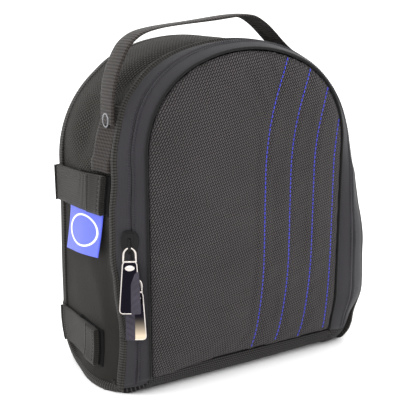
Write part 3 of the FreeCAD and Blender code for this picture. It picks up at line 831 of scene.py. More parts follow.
# Half the gap between the tapes, and where each row of wire lies, as shares of the band's width
CHAIN_HALF = 0.010
COIL_ASIDE = 0.075
CHAIN_RIDGE = 0.5
TAPE_HEM = 0.35
COIL_RISE, COIL_SWING = 0.7, 0.5
COIL_PITCH = 1.9
COIL_HALF = 0.6
COIL_WIRE = 0.4


def make_zip_tape(name, s0, s1, body, node):
    s = np.linspace(s0, s1, 12)[:, None]
    points = band(s, ARCH_T[None])
    edge = np.minimum(np.linspace(0, 1, 12), np.linspace(1, 0, 12))[:, None]
    lift = CHAIN_RIDGE * bell(s, 0.5, 0.1) + TAPE_HEM * smooth(edge / 0.12) + wander(points, 26.0, 0.5, 3.0)
    finish_piece(closed_grid(name, points, TAPE_THICK, lift=lift), body, TAPE, "zip_tape", node)


def make_coil(name, centre, body, node):
    """Row of close wire turns standing a little proud of the tape."""
    middle = band(np.array(centre), ARCH_T)
    inner = band(np.array(centre - 0.02), ARCH_T)
    length = run_length(middle)
    even = np.linspace(0, length[-1], int(length[-1] / COIL_PITCH) * 8)
    path = at_lengths(even, length, middle)
    beside = unit(at_lengths(even, length, inner - middle))
    up = np.cross(unit(np.gradient(path, axis=0)), beside)
    up = up * np.sign(-up[:, 1:2])
    angle = (2 * math.pi * even / COIL_PITCH)[:, None]
    path = path + beside * np.cos(angle) * COIL_HALF + up * (COIL_RISE + COIL_SWING * np.sin(angle))
    finish_piece(tube(name, path, COIL_WIRE, 5), body, COIL, "zip_coil", node)


def zip_end(side):
    """Covered end of the zip, running under the lower corner; the right one is drawn up to the corner."""
    s = np.linspace(0, 1, 14)
    start = band(s, np.array([0.0 if side < 0 else 5.0]))
    foot = start.copy()
    if side < 0:
        foot[:, 0] += 3.0
        foot[:, 1] += BASE_FRONT_R * 0.9
        foot[:, 2] = 1.0
    else:
        foot[:, 1] += BASE_FRONT_R * 0.9 * (1 - s) + 4.0 * s
        foot[:, 2] = 0.6 + RIGHT_DRAW * smooth(s)
    angle = (np.linspace(0, 1, 14) * math.pi / 2)[:, None]
    points = np.repeat(start[None], 14, axis=0)
    points[..., 2] += (foot[:, 2] - start[:, 2]) * np.sin(angle)
    points[..., :2] += (foot[:, :2] - start[:, :2]) * (1 - np.cos(angle))[..., None]
    return points


def make_zip():
    make_zip_tape("flap_tape", 0.03, 0.5 - CHAIN_HALF, "flap", "flap_zip_tape")
    make_zip_tape("body_tape", 0.5 + CHAIN_HALF, 1.0, "shell", "body_zip_tape")
    make_coil("flap_coil", 0.5 - COIL_ASIDE, "flap", "flap_zip_coil")
    make_coil("body_coil", 0.5 + COIL_ASIDE, "shell", "body_zip_coil")
    left = closed_grid("zip_end_left", zip_end(-1), TAPE_THICK)
    finish_piece(left, "shell", TAPE, "zip_tape", "zip_end_tabs")
    right = closed_grid("zip_end_right", zip_end(1), TAPE_THICK)
    finish_piece(right, "shell", BASE_CLOTH, "zip_tape")


# ---- gusset, base and back ----------------------------------------------------

# Padded humps and valleys across the wall, over the top, up the shoulders and low down: height, place, width
TOP_FOLDS = [(1.8, 0.75, 0.2), (-6.0, 0.3, 0.13), (1.2, 0.08, 0.06)]
SHOULDER_FOLDS = [(2.4, 0.76, 0.15), (-4.2, 0.5, 0.11)]
SIDE_FOLDS = [(0.5, 0.5, 0.3), (-0.8, 0.14, 0.05)]
SHOULDER_FROM, SHOULDER_RISE = 165.0, 30.0
SEAM_SINK = 0.4
LINING_THICK = 0.6
BACK_STEP = 6.0
BACK_SUNK = 2.4
BACK_CROWN = 2.2
BACK_EDGE = 8.0
BASE_THICK = 3.5
# Front lip of the base: height, half height, swell, and the depth ahead of which it runs
LIP_Z, LIP_HALF, LIP_SWELL, LIP_BACK = 9.0, 6.0, 0.9, -40.0
# Right front corner of the base, drawn up a little: rise, and its reach across, back and up
CORNER_RISE = 1.5
CORNER_ACROSS, CORNER_BACK, CORNER_UP = 85.0, 34.0, 8.0
# Size of the back's lining, as shares of the back
BACK_LINING_WIDE, BACK_LINING_HIGH = 0.94, 0.95


def folds(v, table):
    return sum(height * bell(v, middle, width) for height, middle, width in table)


def gusset_relief(v, t, points):
    over = smooth((np.minimum(t, 5 - t) - 1.25) / 0.6)
    high = smooth((points[..., 2] - SHOULDER_FROM) / SHOULDER_RISE) * (1 - over)
    low = (1 - over) * (1 - high)
    relief = over * folds(v, TOP_FOLDS) + high * folds(v, SHOULDER_FOLDS) + low * folds(v, SIDE_FOLDS)
    return (relief - SEAM_SINK) * smooth(np.minimum(v, 1 - v) / 0.05)


def make_gusset():
    v = np.sin(np.linspace(-math.pi / 2, math.pi / 2, 34)) * 0.5 + 0.5
    grid_v, grid_t = np.meshgrid(v, ARCH_T, indexing="ij")
    points = gusset(grid_v, grid_t)
    lift = gusset_relief(grid_v, grid_t, points) + wander(points, 34.0, 1.1, 7.0)
    cover = closed_grid("gusset_cover", points, WALL - 1.5, lift=lift)
    finish_piece(cover, "shell", PANEL, "panel_weave", "gusset_panel", "gusset_foam")
    inner = points - grid_normals(points) * (WALL - LINING_THICK)
    lining = closed_grid("gusset_lining_cloth", inner[1:-1], LINING_THICK)
    finish_piece(lining, "shell", LINING, "lining_cloth", "gusset_lining")


def base_profile():
    """Front lip, flat base and rear curve as (y, z) points."""
    front, rear = FRONT[0], REAR[0]
    turn = np.linspace(0, math.pi / 2, 12)
    lip = np.stack([front + BASE_FRONT_R * (1 - np.cos(turn)), BASE_FRONT_R * (1 - np.sin(turn))], 1)
    heel = np.stack([rear - BASE_REAR_R * (1 - np.sin(turn)), BASE_REAR_R * (1 - np.cos(turn))], 1)
    y = np.linspace(lip[-1, 0], heel[0, 0], 12)[1:-1]
    flat = np.stack([y, np.zeros_like(y)], 1)
    return np.concatenate([lip, flat, heel, [[rear, BASE_SEAM_Z]]])


def half_width(side, y, z):
    """Half width of the base at depth y, on one side."""
    seam = abs(wall(side, np.maximum(y, EDGE[0]), np.maximum(z, 8.0))[..., 0])
    front = abs(front_seam(np.array([0.0 if side < 0 else 5.0]))[0, 0])
    share = np.clip((y - FRONT[0]) / (EDGE[0] - FRONT[0]), 0, 1)
    return front + (seam - front) * share ** 0.8


def base_grid(inset):
    run = base_profile()
    left = -(half_width(-1, run[:, 0], run[:, 1]) - inset)
    right = half_width(1, run[:, 0], run[:, 1]) - inset
    x = left[:, None] + (right - left)[:, None] * np.linspace(0, 1, 40)
    y = np.repeat(run[:, :1], 40, axis=1)
    z = np.repeat(run[:, 1:], 40, axis=1)
    ahead = 1 - smooth((y - FRONT[0]) / CORNER_BACK)
    lifted = CORNER_RISE * smooth(x / CORNER_ACROSS) * ahead * smooth((FLAP_LOW_Z - z) / CORNER_UP)
    return np.stack([x, y, z + lifted], -1)


def make_base():
    points = base_grid(0.3)
    lip = LIP_SWELL * bell(points[..., 2], LIP_Z, LIP_HALF) * (points[..., 1] < LIP_BACK)
    cover = closed_grid("base_cover", points, BASE_THICK, lift=lip)
    finish_piece(cover, "shell", BASE_CLOTH, "ballistic_weave", "base_panel", "base_foam")
    low, high = node_box("base_lining")
    across = np.meshgrid(np.linspace(low[0], high[0], 20), np.linspace(low[1], high[1], 12))
    flat = np.stack([*across, np.full((12, 20), high[2])], -1)
    lining = closed_grid("base_lining_cloth", flat, -LINING_THICK)
    finish_piece(lining, "shell", LINING, "lining_cloth", "base_lining")
    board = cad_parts["base_board"]
    board.data.materials.clear()
    board.data.materials.append(BOARD)


def back_border():
    """Outline of the back, inside the rear seam and above the base."""
    seam = gusset(np.ones_like(ARCH_T), ARCH_T)[:, [0, 2]]
    seam = seam[seam[:, 1] > BASE_SEAM_Z + 2.0]
    bottom = np.stack([np.linspace(seam[-1, 0], seam[0, 0], 40), np.full(40, BASE_SEAM_Z)], 1)
    return np.concatenate([seam, bottom])


def make_back():
    border = back_border()
    flat, faces = panel_points(border, [], BACK_STEP)
    gap, _ = seam_distance(flat, border)
    y = REAR[0] - BACK_SUNK + BACK_CROWN * (1 - np.exp(-gap / BACK_EDGE))
    cover = make_object("back_cover", np.stack([flat[:, 0], y, flat[:, 1]], 1), faces, flat)
    add_backing(cover, REAR[0] - WALL + 1.2)
    finish_piece(cover, "shell", PANEL, "panel_weave", "back_panel", "back_foam")
    x = flat[:, 0] * BACK_LINING_WIDE
    z = (flat[:, 1] - CENTRE[2]) * BACK_LINING_HIGH + CENTRE[2]
    inside = np.stack([x, np.full(len(flat), REAR[0] - WALL + LINING_THICK), z], 1)
    lining = make_object("back_lining_cloth", inside, faces, flat)
    add_backing(lining, REAR[0] - WALL)
    finish_piece(lining, "shell", LINING, "lining_cloth", "back_lining")


# ---- bindings -----------------------------------------------------------------

BIND_W = 6.0
BIND_LIFT = 2.2
BIND_THICK = 0.8
REAR_BIND_LIFT = 1.0
# How much wider the binding spreads round the front lower corner
CORNER_GAIN = 0.75
# Height at which the edge bindings meet the corner bindings
BIND_SPLIT = 46.0
FOLDED_TAPE = BIND_LIFT * (1 - np.linspace(-1, 1, 7) ** 4)[:, None]


def binding_run(z, left_r, right_r, spring):
    """Arch parameters of a run that starts and ends at height z on the sides."""
    left = (z - left_r) / (spring - left_r)
    right = 5 - (z - right_r) / (spring - right_r)
    inside = ARCH_T[(ARCH_T > left) & (ARCH_T < right)]
    return np.concatenate([[left], inside, [right]])


def make_edge_bindings():
    t = binding_run(BIND_SPLIT, PANEL_FRONT_R[-1], PANEL_FRONT_R[1], EDGE[2])
    points = gusset(np.linspace(-0.006, BIND_W / DEPTH, 7)[:, None], t[None])
    piece = closed_grid("front_edge_tape", points, BIND_THICK, lift=FOLDED_TAPE)
    finish_piece(piece, "shell", BINDING, "binding", "front_edge_binding")
    t = binding_run(BIND_SPLIT, BASE_REAR_R, BASE_REAR_R, REAR[2])
    beside = gusset(np.linspace(1 - BIND_W / DEPTH, 1.0, 7)[:, None], t[None])
    inwards = np.linspace(0, BIND_W, 6)[1:, None, None]
    behind = beside[-1] - outward(beside[-1]) * inwards
    points = np.concatenate([beside, behind])
    piece = closed_grid("rear_edge_tape", points, BIND_THICK, lift=REAR_BIND_LIFT)
    finish_piece(piece, "shell", BINDING, "binding", "rear_edge_binding")


def corner_path(side):
    """U-shaped run round the bottom of a side panel as (y, z) and the direction inwards."""
    front, rear, front_r = EDGE[0], REAR[0], PANEL_FRONT_R[side]
    turn = [(math.sin(a), math.cos(a)) for a in np.linspace(0, math.pi / 2, 14)]
    run = [(front, z, 1.0, 0.0) for z in np.linspace(BIND_SPLIT, front_r, 8)[:-1]]
    run += [(front + front_r * (1 - cos), front_r * (1 - sin), cos, sin) for sin, cos in turn]
    run += [(y, 0.0, 0.0, 1.0) for y in np.linspace(front + front_r, rear - BASE_REAR_R, 8)[1:-1]]
    run += [(rear - BASE_REAR_R * (1 - sin), BASE_REAR_R * (1 - cos), -sin, cos) for sin, cos in turn]
    run += [(rear, z, -1.0, 0.0) for z in np.linspace(BASE_REAR_R, BIND_SPLIT, 4)[1:]]
    run = np.array(run)
    shift = float(seam_shift(np.array(side), np.array(30.0)))
    run[:, 0] += shift * (1 - smooth((run[:, 0] - front) / (SHIFT_REACH * DEPTH)))
    return run


def make_corner_binding(side, word):
    run = corner_path(side)
    corner = 4 * (run[:, 2] * run[:, 3]) ** 2 * (run[:, 2] > 0)
    across = np.linspace(-0.6, BIND_W, 7)[:, None] * (1 + CORNER_GAIN * corner)
    y = run[:, 0] + run[:, 2] * across
    z = np.maximum(run[:, 1] + run[:, 3] * across, 0.2)
    piece = closed_grid(f"{word}_corner_tape", wall(side, y, z), BIND_THICK, lift=FOLDED_TAPE)
    finish_piece(piece, "shell", BINDING, "binding", f"{word}_corner_binding")


# ---- straps, patches and label --------------------------------------------------

FOLD = 21.0
STRAP_RISE, STRAP_SLOPE = 0.6, 3.4
# How far each strap stands off the wall, as a share of the CAD's gap, and how far it bows
SNUG = {"upper": 1.0, "lower": 0.45}
BOW = {"upper": 0.7, "lower": 0.4}
END_LIFT, END_REACH = 0.9, 0.08
BOX_SEAMS = (3.4, FOLD - 2.0)
BOX_STITCH = 3.2
STRAP_THICK = 1.5
# Heights off the wall: the tab, the top of its hooks, and its turned-back end
TAB_GAP, TAB_THICK, TAB_UNDER = 2.5, 1.8, 2.7
FOLD_GAP, FOLD_THICK, FOLD_RISE = 4.35, 1.2, 1.1
SEAM_PRESS = 0.5
STRAP_CORNER_R = 2.6
QUARTER = np.linspace(0, math.pi / 2, 8)
# Distances of each patch's near and far faces from the wall
PATCH_REACH = {"loop": (-0.4, 1.0), "hook": (1.2, 2.6)}


def selvedge(z, z0, z1):
    return smooth(np.minimum(z - z0, z1 - z) / 1.2)


class Tab:
    """End of a strap, lying beside one wall."""

    def __init__(self, level, side, word):
        self.name = f"{level}_tab_{word}"
        self.side = side
        low, high = node_box(self.name)
        self.hinge_y = high[1]
        self.y0, self.y1 = low[1], high[1] - 0.2
        self.z0, self.z1 = low[2], high[2]
        self.bow, self.snug = BOW[level], SNUG[level]

    def along(self, y):
        return np.clip((y - self.y0) / (self.y1 - self.y0), 0, 1)

    def arc(self, y):
        return self.bow * np.sin(math.pi * self.along(y))

    def raised(self, y):
        return self.arc(y) + END_LIFT * bell((y - self.y0) / (self.y1 - self.y0), 0.0, END_REACH)

    def place(self, y, z, lift, clear=0.0):
        """Points beside the wall, dropping slightly from the strap's end towards the back."""
        along = self.along(y)
        points = wall(self.side, y, z, lift * (1 - (1 - self.snug) * smooth(along)) + clear)
        points[..., 2] += STRAP_RISE - (STRAP_SLOPE + STRAP_RISE) * along
        return points


def make_tab(tab):
    y = np.linspace(tab.y0, tab.y1, 40)
    grid_z, grid_y = np.meshgrid(np.linspace(tab.z0, tab.z1, 14), y, indexing="ij")
    edge = selvedge(grid_z, tab.z0, tab.z1)
    lift = TAB_GAP + TAB_THICK * (0.55 + 0.45 * edge) + tab.raised(grid_y)
    fold = smooth((tab.y0 + FOLD - grid_y) / 1.2)
    under = np.minimum(lift - STRAP_THICK, TAB_UNDER + tab.arc(grid_y))
    outer = tab.place(grid_y, grid_z, lift + FOLD_RISE * fold)
    piece = shell_between(tab.name + "_webbing", outer, tab.place(grid_y, grid_z, under))
    piece.data.materials.append(STRAP)
    middle = wall(tab.side, np.array(0.0), np.array((tab.z0 + tab.z1) / 2), 3.0)[0] * MM
    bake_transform(piece)
    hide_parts(tab.name)


def make_fold_cover(tab):
    """Smooth turned-back end of a strap with a sewn box."""
    z0, z1 = tab.z0 + 0.2, tab.z1 - 0.2
    y = np.linspace(tab.y0 - 0.3, tab.y0 + FOLD, 24)
    grid_z, grid_y = np.meshgrid(np.linspace(z0, z1, 14), y, indexing="ij")
    lift = FOLD_GAP + FOLD_THICK * (0.55 + 0.45 * selvedge(grid_z, z0, z1)) + tab.raised(grid_y)
    seam = sum(bell(grid_y, tab.y0 + across, 0.9) for across in BOX_SEAMS)
    outer = tab.place(grid_y, grid_z, lift - SEAM_PRESS * seam, 0.1)
    piece = shell_between(tab.name + "_fold", outer, tab.place(grid_y, grid_z, lift - FOLD_RISE))
    finish_piece(piece, tab.name, STRAP_END, "webbing")
    stitches = []
    for y in (tab.y0 + across for across in BOX_SEAMS):
        for z in np.arange(tab.z0 + 3.0, tab.z1 - 3.0, BOX_STITCH):
            ends = tab.place(np.full(3, y), z + np.array([0.0, 1.1, 2.2]), 5.3 + tab.raised(y),
                             np.array([-0.05, 0.2, -0.05]))
            stitches.append(tube("stitch", catmull(ends, 3), 0.24, 5))
    finish_piece(join(tab.name + "_stitches", stitches), tab.name, DARK_THREAD, "webbing")


def make_patches(level, side, word):
    for kind, body in (("loop", "shell"), ("hook", f"{level}_tab_{word}")):
        node = f"{level}_{kind}_patch_{word}"
        low, high = node_box(node)
        y, z = np.linspace(low[1], high[1], 26), np.linspace(low[2], high[2], 18)
        grid_z, grid_y = np.meshgrid(z, y, indexing="ij")
        near, far = PATCH_REACH[kind]
        pile = 0.25 * np.sin(grid_y * 2.9) * np.sin(grid_z * 3.1)
        outer = wall(side, grid_y, grid_z, far + pile)
        piece = shell_between(node + "_pile", outer, wall(side, grid_y, grid_z, near))
        finish_piece(piece, body, HOOKS, "hook_loop", node)


def heel_recess(z):
    """How far the rounded heel lies ahead of the flat back at height z."""
    drop = np.clip(BASE_REAR_R - z, 0, BASE_REAR_R)
    return BASE_REAR_R - np.sqrt(BASE_REAR_R ** 2 - drop ** 2)


def make_strap_back(level):
    node = f"{level}_strap_back"
    low, high = node_box(node)
    turn = STRAP_CORNER_R * (1 - np.stack([np.cos(QUARTER), np.sin(QUARTER)], 1))
    start, middle_z = low[1] - 1.0, (low[2] + high[2]) / 2
    right, left = (side * wall(side, start, middle_z, 4.3 * SNUG[level])[0] for side in (1, -1))
    back = high[1] - 0.1
    across = [(x, back) for x in np.linspace(right - STRAP_CORNER_R, 0, 16)[1:]]
    half = np.concatenate([[(right, low[1])], (right, back) - turn, across])
    path = np.concatenate([half, (half * [-left / right, 1])[-2::-1]])
    z = np.linspace(low[2], high[2], 14)
    points = np.zeros((14, len(path), 3))
    points[..., :2] = path
    points[..., 2] = z[:, None] - STRAP_SLOPE
    points[..., 1] -= heel_recess(points[..., 2])
    lift = 0.5 * selvedge(z, z[0], z[-1])[:, None] - 0.5
    piece = closed_grid(node + "_webbing", points, STRAP_THICK, lift=lift)
    finish_piece(piece, "shell", STRAP, "webbing", node)


RING_ACROSS, RING_DOWN = 0.41, 0.33
LABEL_UP = 2.4
LABEL_GAP, LABEL_HANG, LABEL_WAVE = 1.3, 5.2, 0.7
# How far the label drops from its rear side to its front side, at its top and its foot
LABEL_DROP, LABEL_DROP_GAIN = 3.2, 1.8
LABEL_SHORT, LABEL_SHORT_GAIN = 0.94, 0.045


def make_label():
    low, high = node_box("flag_label")
    z_top, height, width = high[2] + LABEL_UP, high[2] - low[2], high[1] - low[1]
    grid_down, grid_y = np.meshgrid(np.linspace(0, 1, 19), np.linspace(low[1], high[1], 31), indexing="ij")
    share = (grid_y - low[1]) / width
    hang = LABEL_GAP + LABEL_HANG * grid_down ** 1.3 + LABEL_WAVE * np.sin(3.0 * share + 0.4) * grid_down
    points = wall(-1, grid_y, z_top - 14.0, hang)
    drop = height * grid_down * (LABEL_SHORT + LABEL_SHORT_GAIN * share)
    points[..., 2] = z_top - drop - share * (LABEL_DROP + LABEL_DROP_GAIN * grid_down)
    uv = np.stack([width * share, height * grid_down], -1)
    piece = closed_grid("label_cloth", points, 0.45, uv=uv)
    finish_piece(piece, "label", label_material(width, height), "label", "flag_label")


# ---- handle --------------------------------------------------------------------

WEB_LOW, WEB_HIGH = node_box("handle_webbing")
HANDLE_Y = (WEB_LOW[1] + WEB_HIGH[1]) / 2
WEB_W = WEB_HIGH[1] - WEB_LOW[1]
RIVET_Z = middle_height("rivet_left")
# Above each rivet the webbing narrows and comes forward
NECK_PINCH = 0.10
NECK_LEAD = 4.0
NECK_FROM, NECK_RISE = 8.0, 30.0
WEB_CURL = 0.7
RIVET_STAND = 3.3
# Rivet's profile as (radius, outward) points: a rolled ring, and a sunk middle
RIVET_RING = [(4.4, -2.4), (4.9, 0.0), (5.5, 0.5), (5.5, 1.0), (5.0, 1.4), (4.5, 1.4), (4.1, 1.0), (4.0, 0.0),
              (3.9, -2.4)]
RIVET_MIDDLE = [(4.2, -2.3), (4.2, 0.3), (3.0, 0.35), (1.6, 0.2), (0.3, 0.15)]
# Sewn-in loop seen from the front: (x, z) of the webbing's middle line
HANDLE_ROUTE = [(-103, 226), (-95, 249), (-84, 265), (-64, 273), (-20, 278.5), (12, 282),
                (28, 276.5), (50, 258), (75, 241), (97, 222)]


def make_handle():
    ends = [wall(side, HANDLE_Y, RIVET_Z - 2.0, 1.9)[[0, 2]] for side in (-1, 1)]
    line = resample(catmull([tuple(ends[0])] + HANDLE_ROUTE + [tuple(ends[1])], 14), 2.2)
    path = np.stack([line[:, 0], np.full(len(line), HANDLE_Y), line[:, 1]], 1)
    across = np.linspace(-0.5, 0.5, 11)[:, None]
    points = np.repeat(path[None], 11, axis=0)
    near = 1 - smooth((path[:, 2] - RIVET_Z - NECK_FROM) / NECK_RISE)
    points[..., 1] += across * WEB_W * (1 - NECK_PINCH * near) - NECK_LEAD * near
    curl = WEB_CURL * (2 * across) ** 2
    points = points - outward(path)[None] * curl[..., None]
    edge = smooth((0.5 - np.abs(across)) / 0.05)
    lift = 0.35 + 0.45 * edge + wander(points, 40.0, 0.8, 11.0)
    piece = closed_grid("handle_strap", points, 0.7, lift=lift)
    piece.data.materials.append(WEBBING)
    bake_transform(piece)
    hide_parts("handle_webbing")


def make_handle_end(side, word):
    """Doubled end of the webbing, sewn down below the rivet with two rows."""
    node = f"handle_end_{word}"
    low = node_box(node)[0][2]
    half = WEB_W / 2 * (1 - NECK_PINCH)
    y = np.linspace(HANDLE_Y - NECK_LEAD - half, HANDLE_Y - NECK_LEAD + half, 13)
    grid_y, grid_z = np.meshgrid(y, np.linspace(low + 1.5, RIVET_Z + 11.0, 30), indexing="ij")
    fold = smooth((low + 11.5 - grid_z) / 1.0)
    groove = bell(grid_z, low + 4.0, 0.9) + bell(grid_z, low + 9.2, 0.9)
    edge = smooth(np.minimum(grid_y - y[0], y[-1] - grid_y) / 1.5)
    outer = wall(side, grid_y, grid_z, 1.0 + 0.6 * edge + 1.3 * fold - 0.6 * groove * edge)
    piece = shell_between(node + "_webbing", outer, wall(side, grid_y, grid_z, -0.5))
    finish_piece(piece, "shell", WEBBING, "webbing", node)


def lathe(name, profile, centre, side):
    """Turned part whose axis is across the bag."""
    turn = np.linspace(0, 2 * math.pi, 28, endpoint=False)
    points = [(centre[0] + side * out, centre[1] + r * math.cos(a), centre[2] + r * math.sin(a))
              for r, out in profile for a in turn]
    return make_object(name, points, ring_faces(len(profile), len(turn)))


def make_rivet(side, word):
    """Bright rolled ring round a sunk middle, whose darker metal is painted shade in its hollow."""
    centre = wall(side, HANDLE_Y - NECK_LEAD, RIVET_Z, RIVET_STAND)
    ring = lathe(f"rivet_ring_{word}", RIVET_RING, centre, side)
    finish_piece(ring, "shell", RIVET, "rivet", f"rivet_{word}")
    middle = lathe(f"rivet_middle_{word}", RIVET_MIDDLE, centre, side)
    finish_piece(middle, "shell", RIVET_HOLLOW_SHADE, "rivet")


# ---- sliders and pulls -----------------------------------------------------------

# Across the zip chain, up it, and outwards from it
ZIP_U = unit(np.array([EDGE[1] - FRONT[1], FRONT[0] - EDGE[0], 0.0]))
ZIP_V = np.array([0.0, 0.0, 1.0])
ZIP_W = np.cross(ZIP_U, ZIP_V)
# The pull's pin, from the slider's middle
PIN = -4.5 * ZIP_V + 2.9 * ZIP_W
SLIDER_BODY = [(-3.8, 8.3), (3.8, 8.3), (6.5, 3.5), (6.3, -2.5), (4.4, -8.3), (-4.4, -8.3), (-6.3, -2.5),
               (-6.5, 3.5)]
SLIDER_CROWN = [(-3.4, 7.0), (3.4, 7.0), (2.6, -1.5), (-2.6, -1.5)]
PULL_HALF, PULL_TOP_HALF, PULL_L = 7.5, 5.0, 47.0
LOOP_L = 9.5
# Heights between which the pull face's painted warm reflection fades in
PAINTED_REFLECTION_Z = (50.0, 66.0)
BOSS_V, BOSS_HALF, BOSS_HALF_HIGH, BOSS_RISE = -14.2, 3.6, 2.1, 0.75
RIB_STEP = 4.9


def on_zip(points, origin, swing=(0.0, 0.0)):
    """Local u across, v up, w outward to the row frame; swing is (outwards, sideways) in degrees."""
    p = np.asarray(points, float)
    out, side = math.radians(swing[0]), math.radians(swing[1])
    u = p[..., 0] * math.cos(side) - p[..., 1] * math.sin(side)
    down = p[..., 0] * math.sin(side) + p[..., 1] * math.cos(side)
    v = down * math.cos(out) + p[..., 2] * math.sin(out)
    w = -down * math.sin(out) + p[..., 2] * math.cos(out)
    return origin + u[..., None] * ZIP_U + v[..., None] * ZIP_V + w[..., None] * ZIP_W


def chain_origin(z):
    """Middle of the left zip chain at height z, from the CAD outlines."""
    middle = (FRONT + EDGE) / 2
    return np.array([-middle[1], middle[0], z])


def rounded_outline(corners, radius, each=5):
    """Closed outline with an arc at each corner."""
    corners = [np.array(c, float) for c in corners]
    result = []
    for before, corner, after in zip(corners[-1:] + corners[:-1], corners, corners[1:] + corners[:1]):
        a, b = unit(before - corner), unit(after - corner)
        reach = radius / math.tan(math.acos(np.clip(a.dot(b), -1, 1)) / 2)
        start, end = corner + a * reach, corner + b * reach
        for s in np.linspace(0, 1, each):
            result.append(start * (1 - s) ** 2 + corner * 2 * s * (1 - s) + end * s ** 2)
    return [tuple(p) for p in result]


def prism(name, outline, w0, w1, origin, tilt=(0.0, 0.0), bevel=0.3, segments=2):
    """Plate with a drawn outline and softened edges."""
    count = len(outline)
    points = np.array([(u, v, w) for w in (w0, w1) for u, v in outline])
    faces = [list(range(count)), list(range(count, 2 * count))]
    faces += [[i, (i + 1) % count, (i + 1) % count + count, i + count] for i in range(count)]
    piece = make_object(name, on_zip(points, origin, tilt), faces)
    piece.data.polygons.foreach_set("use_smooth", [False] * len(piece.data.polygons))
    edges = piece.modifiers.new("edges", "BEVEL")
    edges.width = bevel * MM
    edges.segments = segments
    edges.limit_method = "ANGLE"
    edges.angle_limit = math.radians(35)
    return piece


def make_slider(node, z):
    origin = chain_origin(z)
    body = rounded_outline(SLIDER_BODY, 1.4)
    plate = prism("plate", body, 0.4, 2.3, origin, bevel=0.9, segments=4)
    under = prism("under", body, -4.2, -2.9, origin)
    dome = prism("dome", rounded_outline(SLIDER_CROWN, 1.0), 2.0, 3.0, origin, bevel=0.45, segments=3)
    arc = np.linspace(0, math.pi, 12)
    v = np.concatenate([[2.5], -2.35 + 4.85 * np.cos(arc), [-7.2]])
    w = np.concatenate([[1.6], 2.2 + 2.3 * np.sin(arc) ** 0.6, [1.6]])
    bridge = tube("bridge", on_zip(np.stack([np.zeros_like(v), v, w], 1), origin), 1.15)
    finish_piece(join(node + "_body", [plate, under, dome, bridge]), node, SLIDER, "slider", node)


def make_pull(node, z, grip_side, tilt=(0.0, 0.0), aside=0.0):
    """Polished plate with a bright rim, a wire loop, a plain oval boss and a rubber grip on one half."""
    origin = chain_origin(z) + PIN + aside * ZIP_U
    corners = [(-PULL_TOP_HALF, -LOOP_L), (PULL_TOP_HALF, -LOOP_L), (PULL_HALF, -PULL_L),
               (-PULL_HALF, -PULL_L)]
    outline = rounded_outline(corners, 3.0, 6)
    face = prism(node + "_plate", outline, -0.5, 0.45, origin, tilt, 0.15)
    finish_piece(face, node, polished_face(*PAINTED_REFLECTION_Z), "pull", node)
    rim = tube("rim", on_zip([(u, v, 0.1) for u, v in outline], origin, tilt), 0.5, 6, closed=True)
    wire = [(4.4 * math.cos(a), 5.0 * math.sin(a) - 4.6, 0.0) for a in np.linspace(0, math.pi, 14)]
    wire = [(4.6, -LOOP_L - 0.5, 0.0)] + wire + [(-4.6, -LOOP_L - 0.5, 0.0)]
    ring = tube("ring", on_zip(wire, origin, tilt), 0.8)
    bar = tube("bar", on_zip([(side * PULL_TOP_HALF, -LOOP_L, 0.1) for side in (-1, 1)], origin, tilt), 0.8)
    finish_piece(join(node + "_rim", [rim, ring, bar]), node, BRIGHT, "pull")
    make_boss(node, origin, tilt)
    make_grip(node, origin, tilt, grip_side)


def make_boss(node, origin, tilt):
    """Plain raised oval, without lettering."""
    rings, sides = 6, 24
    points = []
    for slope in np.linspace(0, math.pi / 2, rings):
        reach, rise = math.sin(slope) + 0.02, math.cos(slope)
        for a in np.linspace(0, 2 * math.pi, sides, endpoint=False):
            points.append((BOSS_HALF * reach * math.cos(a), BOSS_V + BOSS_HALF_HIGH * reach * math.sin(a),
                           0.35 + BOSS_RISE * rise))
    piece = make_object(node + "_boss", on_zip(points, origin, tilt), ring_faces(rings, sides))
    finish_piece(piece, node, BRIGHT, "pull")


def make_grip(node, origin, tilt, side):
    """Rubber half with a slanted top and raised slanting ribs."""
    end = -PULL_L - 0.4
    corners = [(side * u, v) for u, v in ((0.7, -26.0), (3.4, -18.5), (6.6, -15.5), (7.9, end), (0.7, end))]
    parts = [prism("block", rounded_outline(corners, 1.5), -0.9, 1.05, origin, tilt, 0.35)]
    for k in range(5):
        v = -23.5 - RIB_STEP * k
        rib = [(side * 1.2, v - 2.2), (side * 7.2, v + 1.6), (side * 7.3, v - 1.5), (side * 1.2, v - 5.2)]
        parts.append(prism("rib", rounded_outline(rib, 0.5, 3), 0.9, 1.5, origin, tilt, 0.25))
    finish_piece(join(node + "_rubber", parts), node, GRIP, "grip", node + "_grip")


# ---- stage ----------------------------------------------------------------------

FLOOR_HALF = 6000.0
WORLD_STRENGTH = 1.55
# Soft lamps: place, size and power
LAMPS = {"key": ((-0.9, -1.1, 1.3), 0.9, 6.0), "top": ((0.1, 0.2, 1.6), 1.2, 6.0),
         "side": ((1.3, -0.9, 0.8), 0.7, 3.0)}
LAMPS_AIM = Vector((0, 0, 0.13))
CAMERA_PLACE = (-0.314, -0.530, 0.274)
CAMERA_YAW, CAMERA_PITCH = 30.3, 13.7
CAMERA_LENS = 64.9


def make_floor():
    corners = [(-1, -1), (1, -1), (1, 1), (-1, 1)]
    floor = make_object("floor", [(x * FLOOR_HALF, y * FLOOR_HALF, 0) for x, y in corners], [[0, 1, 2, 3]])
    graph = Graph("pale_floor", 0.95)
    cloudy = graph.noise(graph.place(1.0), 0.6, 2.0)
    floor.data.materials.append(graph.finish(graph.blend(cloudy, tone(255, 255, 255), tone(252, 252, 252))))


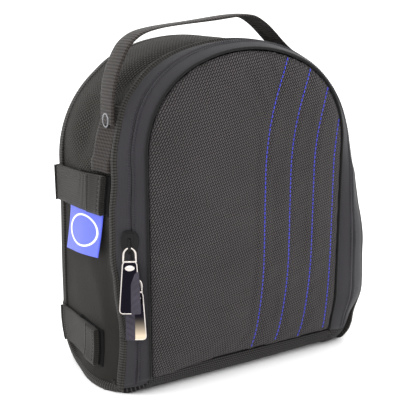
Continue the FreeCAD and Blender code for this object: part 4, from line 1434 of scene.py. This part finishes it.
def make_light():
    world = bpy.data.worlds.new("studio")
    bpy.context.scene.world = world
    world.use_nodes = True
    world.node_tree.nodes["Background"].inputs["Color"].default_value = (1.0, 1.0, 1.0, 1.0)
    world.node_tree.nodes["Background"].inputs["Strength"].default_value = WORLD_STRENGTH
    for name, (place, size, power) in LAMPS.items():
        data = bpy.data.lights.new(name, "AREA")
        data.size = size
        data.energy = power
        lamp = bpy.data.objects.new(name, data)
        lamp.location = place
        lamp.rotation_euler = (LAMPS_AIM - Vector(place)).to_track_quat("-Z", "Y").to_euler()
        bpy.context.scene.collection.objects.link(lamp)


def make_camera():
    data = bpy.data.cameras.new("camera")
    data.lens = CAMERA_LENS
    data.sensor_width = 36.0
    camera = bpy.data.objects.new("camera", data)
    yaw, pitch = math.radians(CAMERA_YAW), math.radians(CAMERA_PITCH)
    ahead = Vector((math.sin(yaw) * math.cos(pitch), math.cos(yaw) * math.cos(pitch), -math.sin(pitch)))
    camera.location = CAMERA_PLACE
    camera.rotation_euler = ahead.to_track_quat("-Z", "Y").to_euler()
    bpy.context.scene.collection.objects.link(camera)
    bpy.context.scene.camera = camera
    bpy.context.scene.view_settings.view_transform = "Standard"


# ---- build ----------------------------------------------------------------------

make_quilt_stitches(make_front_panel())
make_front_piping()
make_front_lining()
make_zip()
make_gusset()
make_base()
make_back()
make_edge_bindings()
for wall_side, wall_word in SIDES:
    make_corner_binding(wall_side, wall_word)
for strap_level in ("upper", "lower"):
    make_strap_back(strap_level)
    for wall_side, wall_word in SIDES:
        strap_end = Tab(strap_level, wall_side, wall_word)
        make_tab(strap_end)
        make_fold_cover(strap_end)
        make_patches(strap_level, wall_side, wall_word)
make_label()
make_handle()
for wall_side, wall_word in SIDES:
    make_handle_end(wall_side, wall_word)
    make_rivet(wall_side, wall_word)
upper_z = middle_height("upper_slider")
lower_z = middle_height("lower_slider")
make_slider("upper_slider", upper_z)
make_slider("lower_slider", lower_z)
make_pull("upper_pull", upper_z, 1, tilt=(13.0, 0.0))
make_pull("lower_pull", lower_z, -1, tilt=(0.0, -0.6), aside=3.8)
make_floor()
make_light()
make_camera()
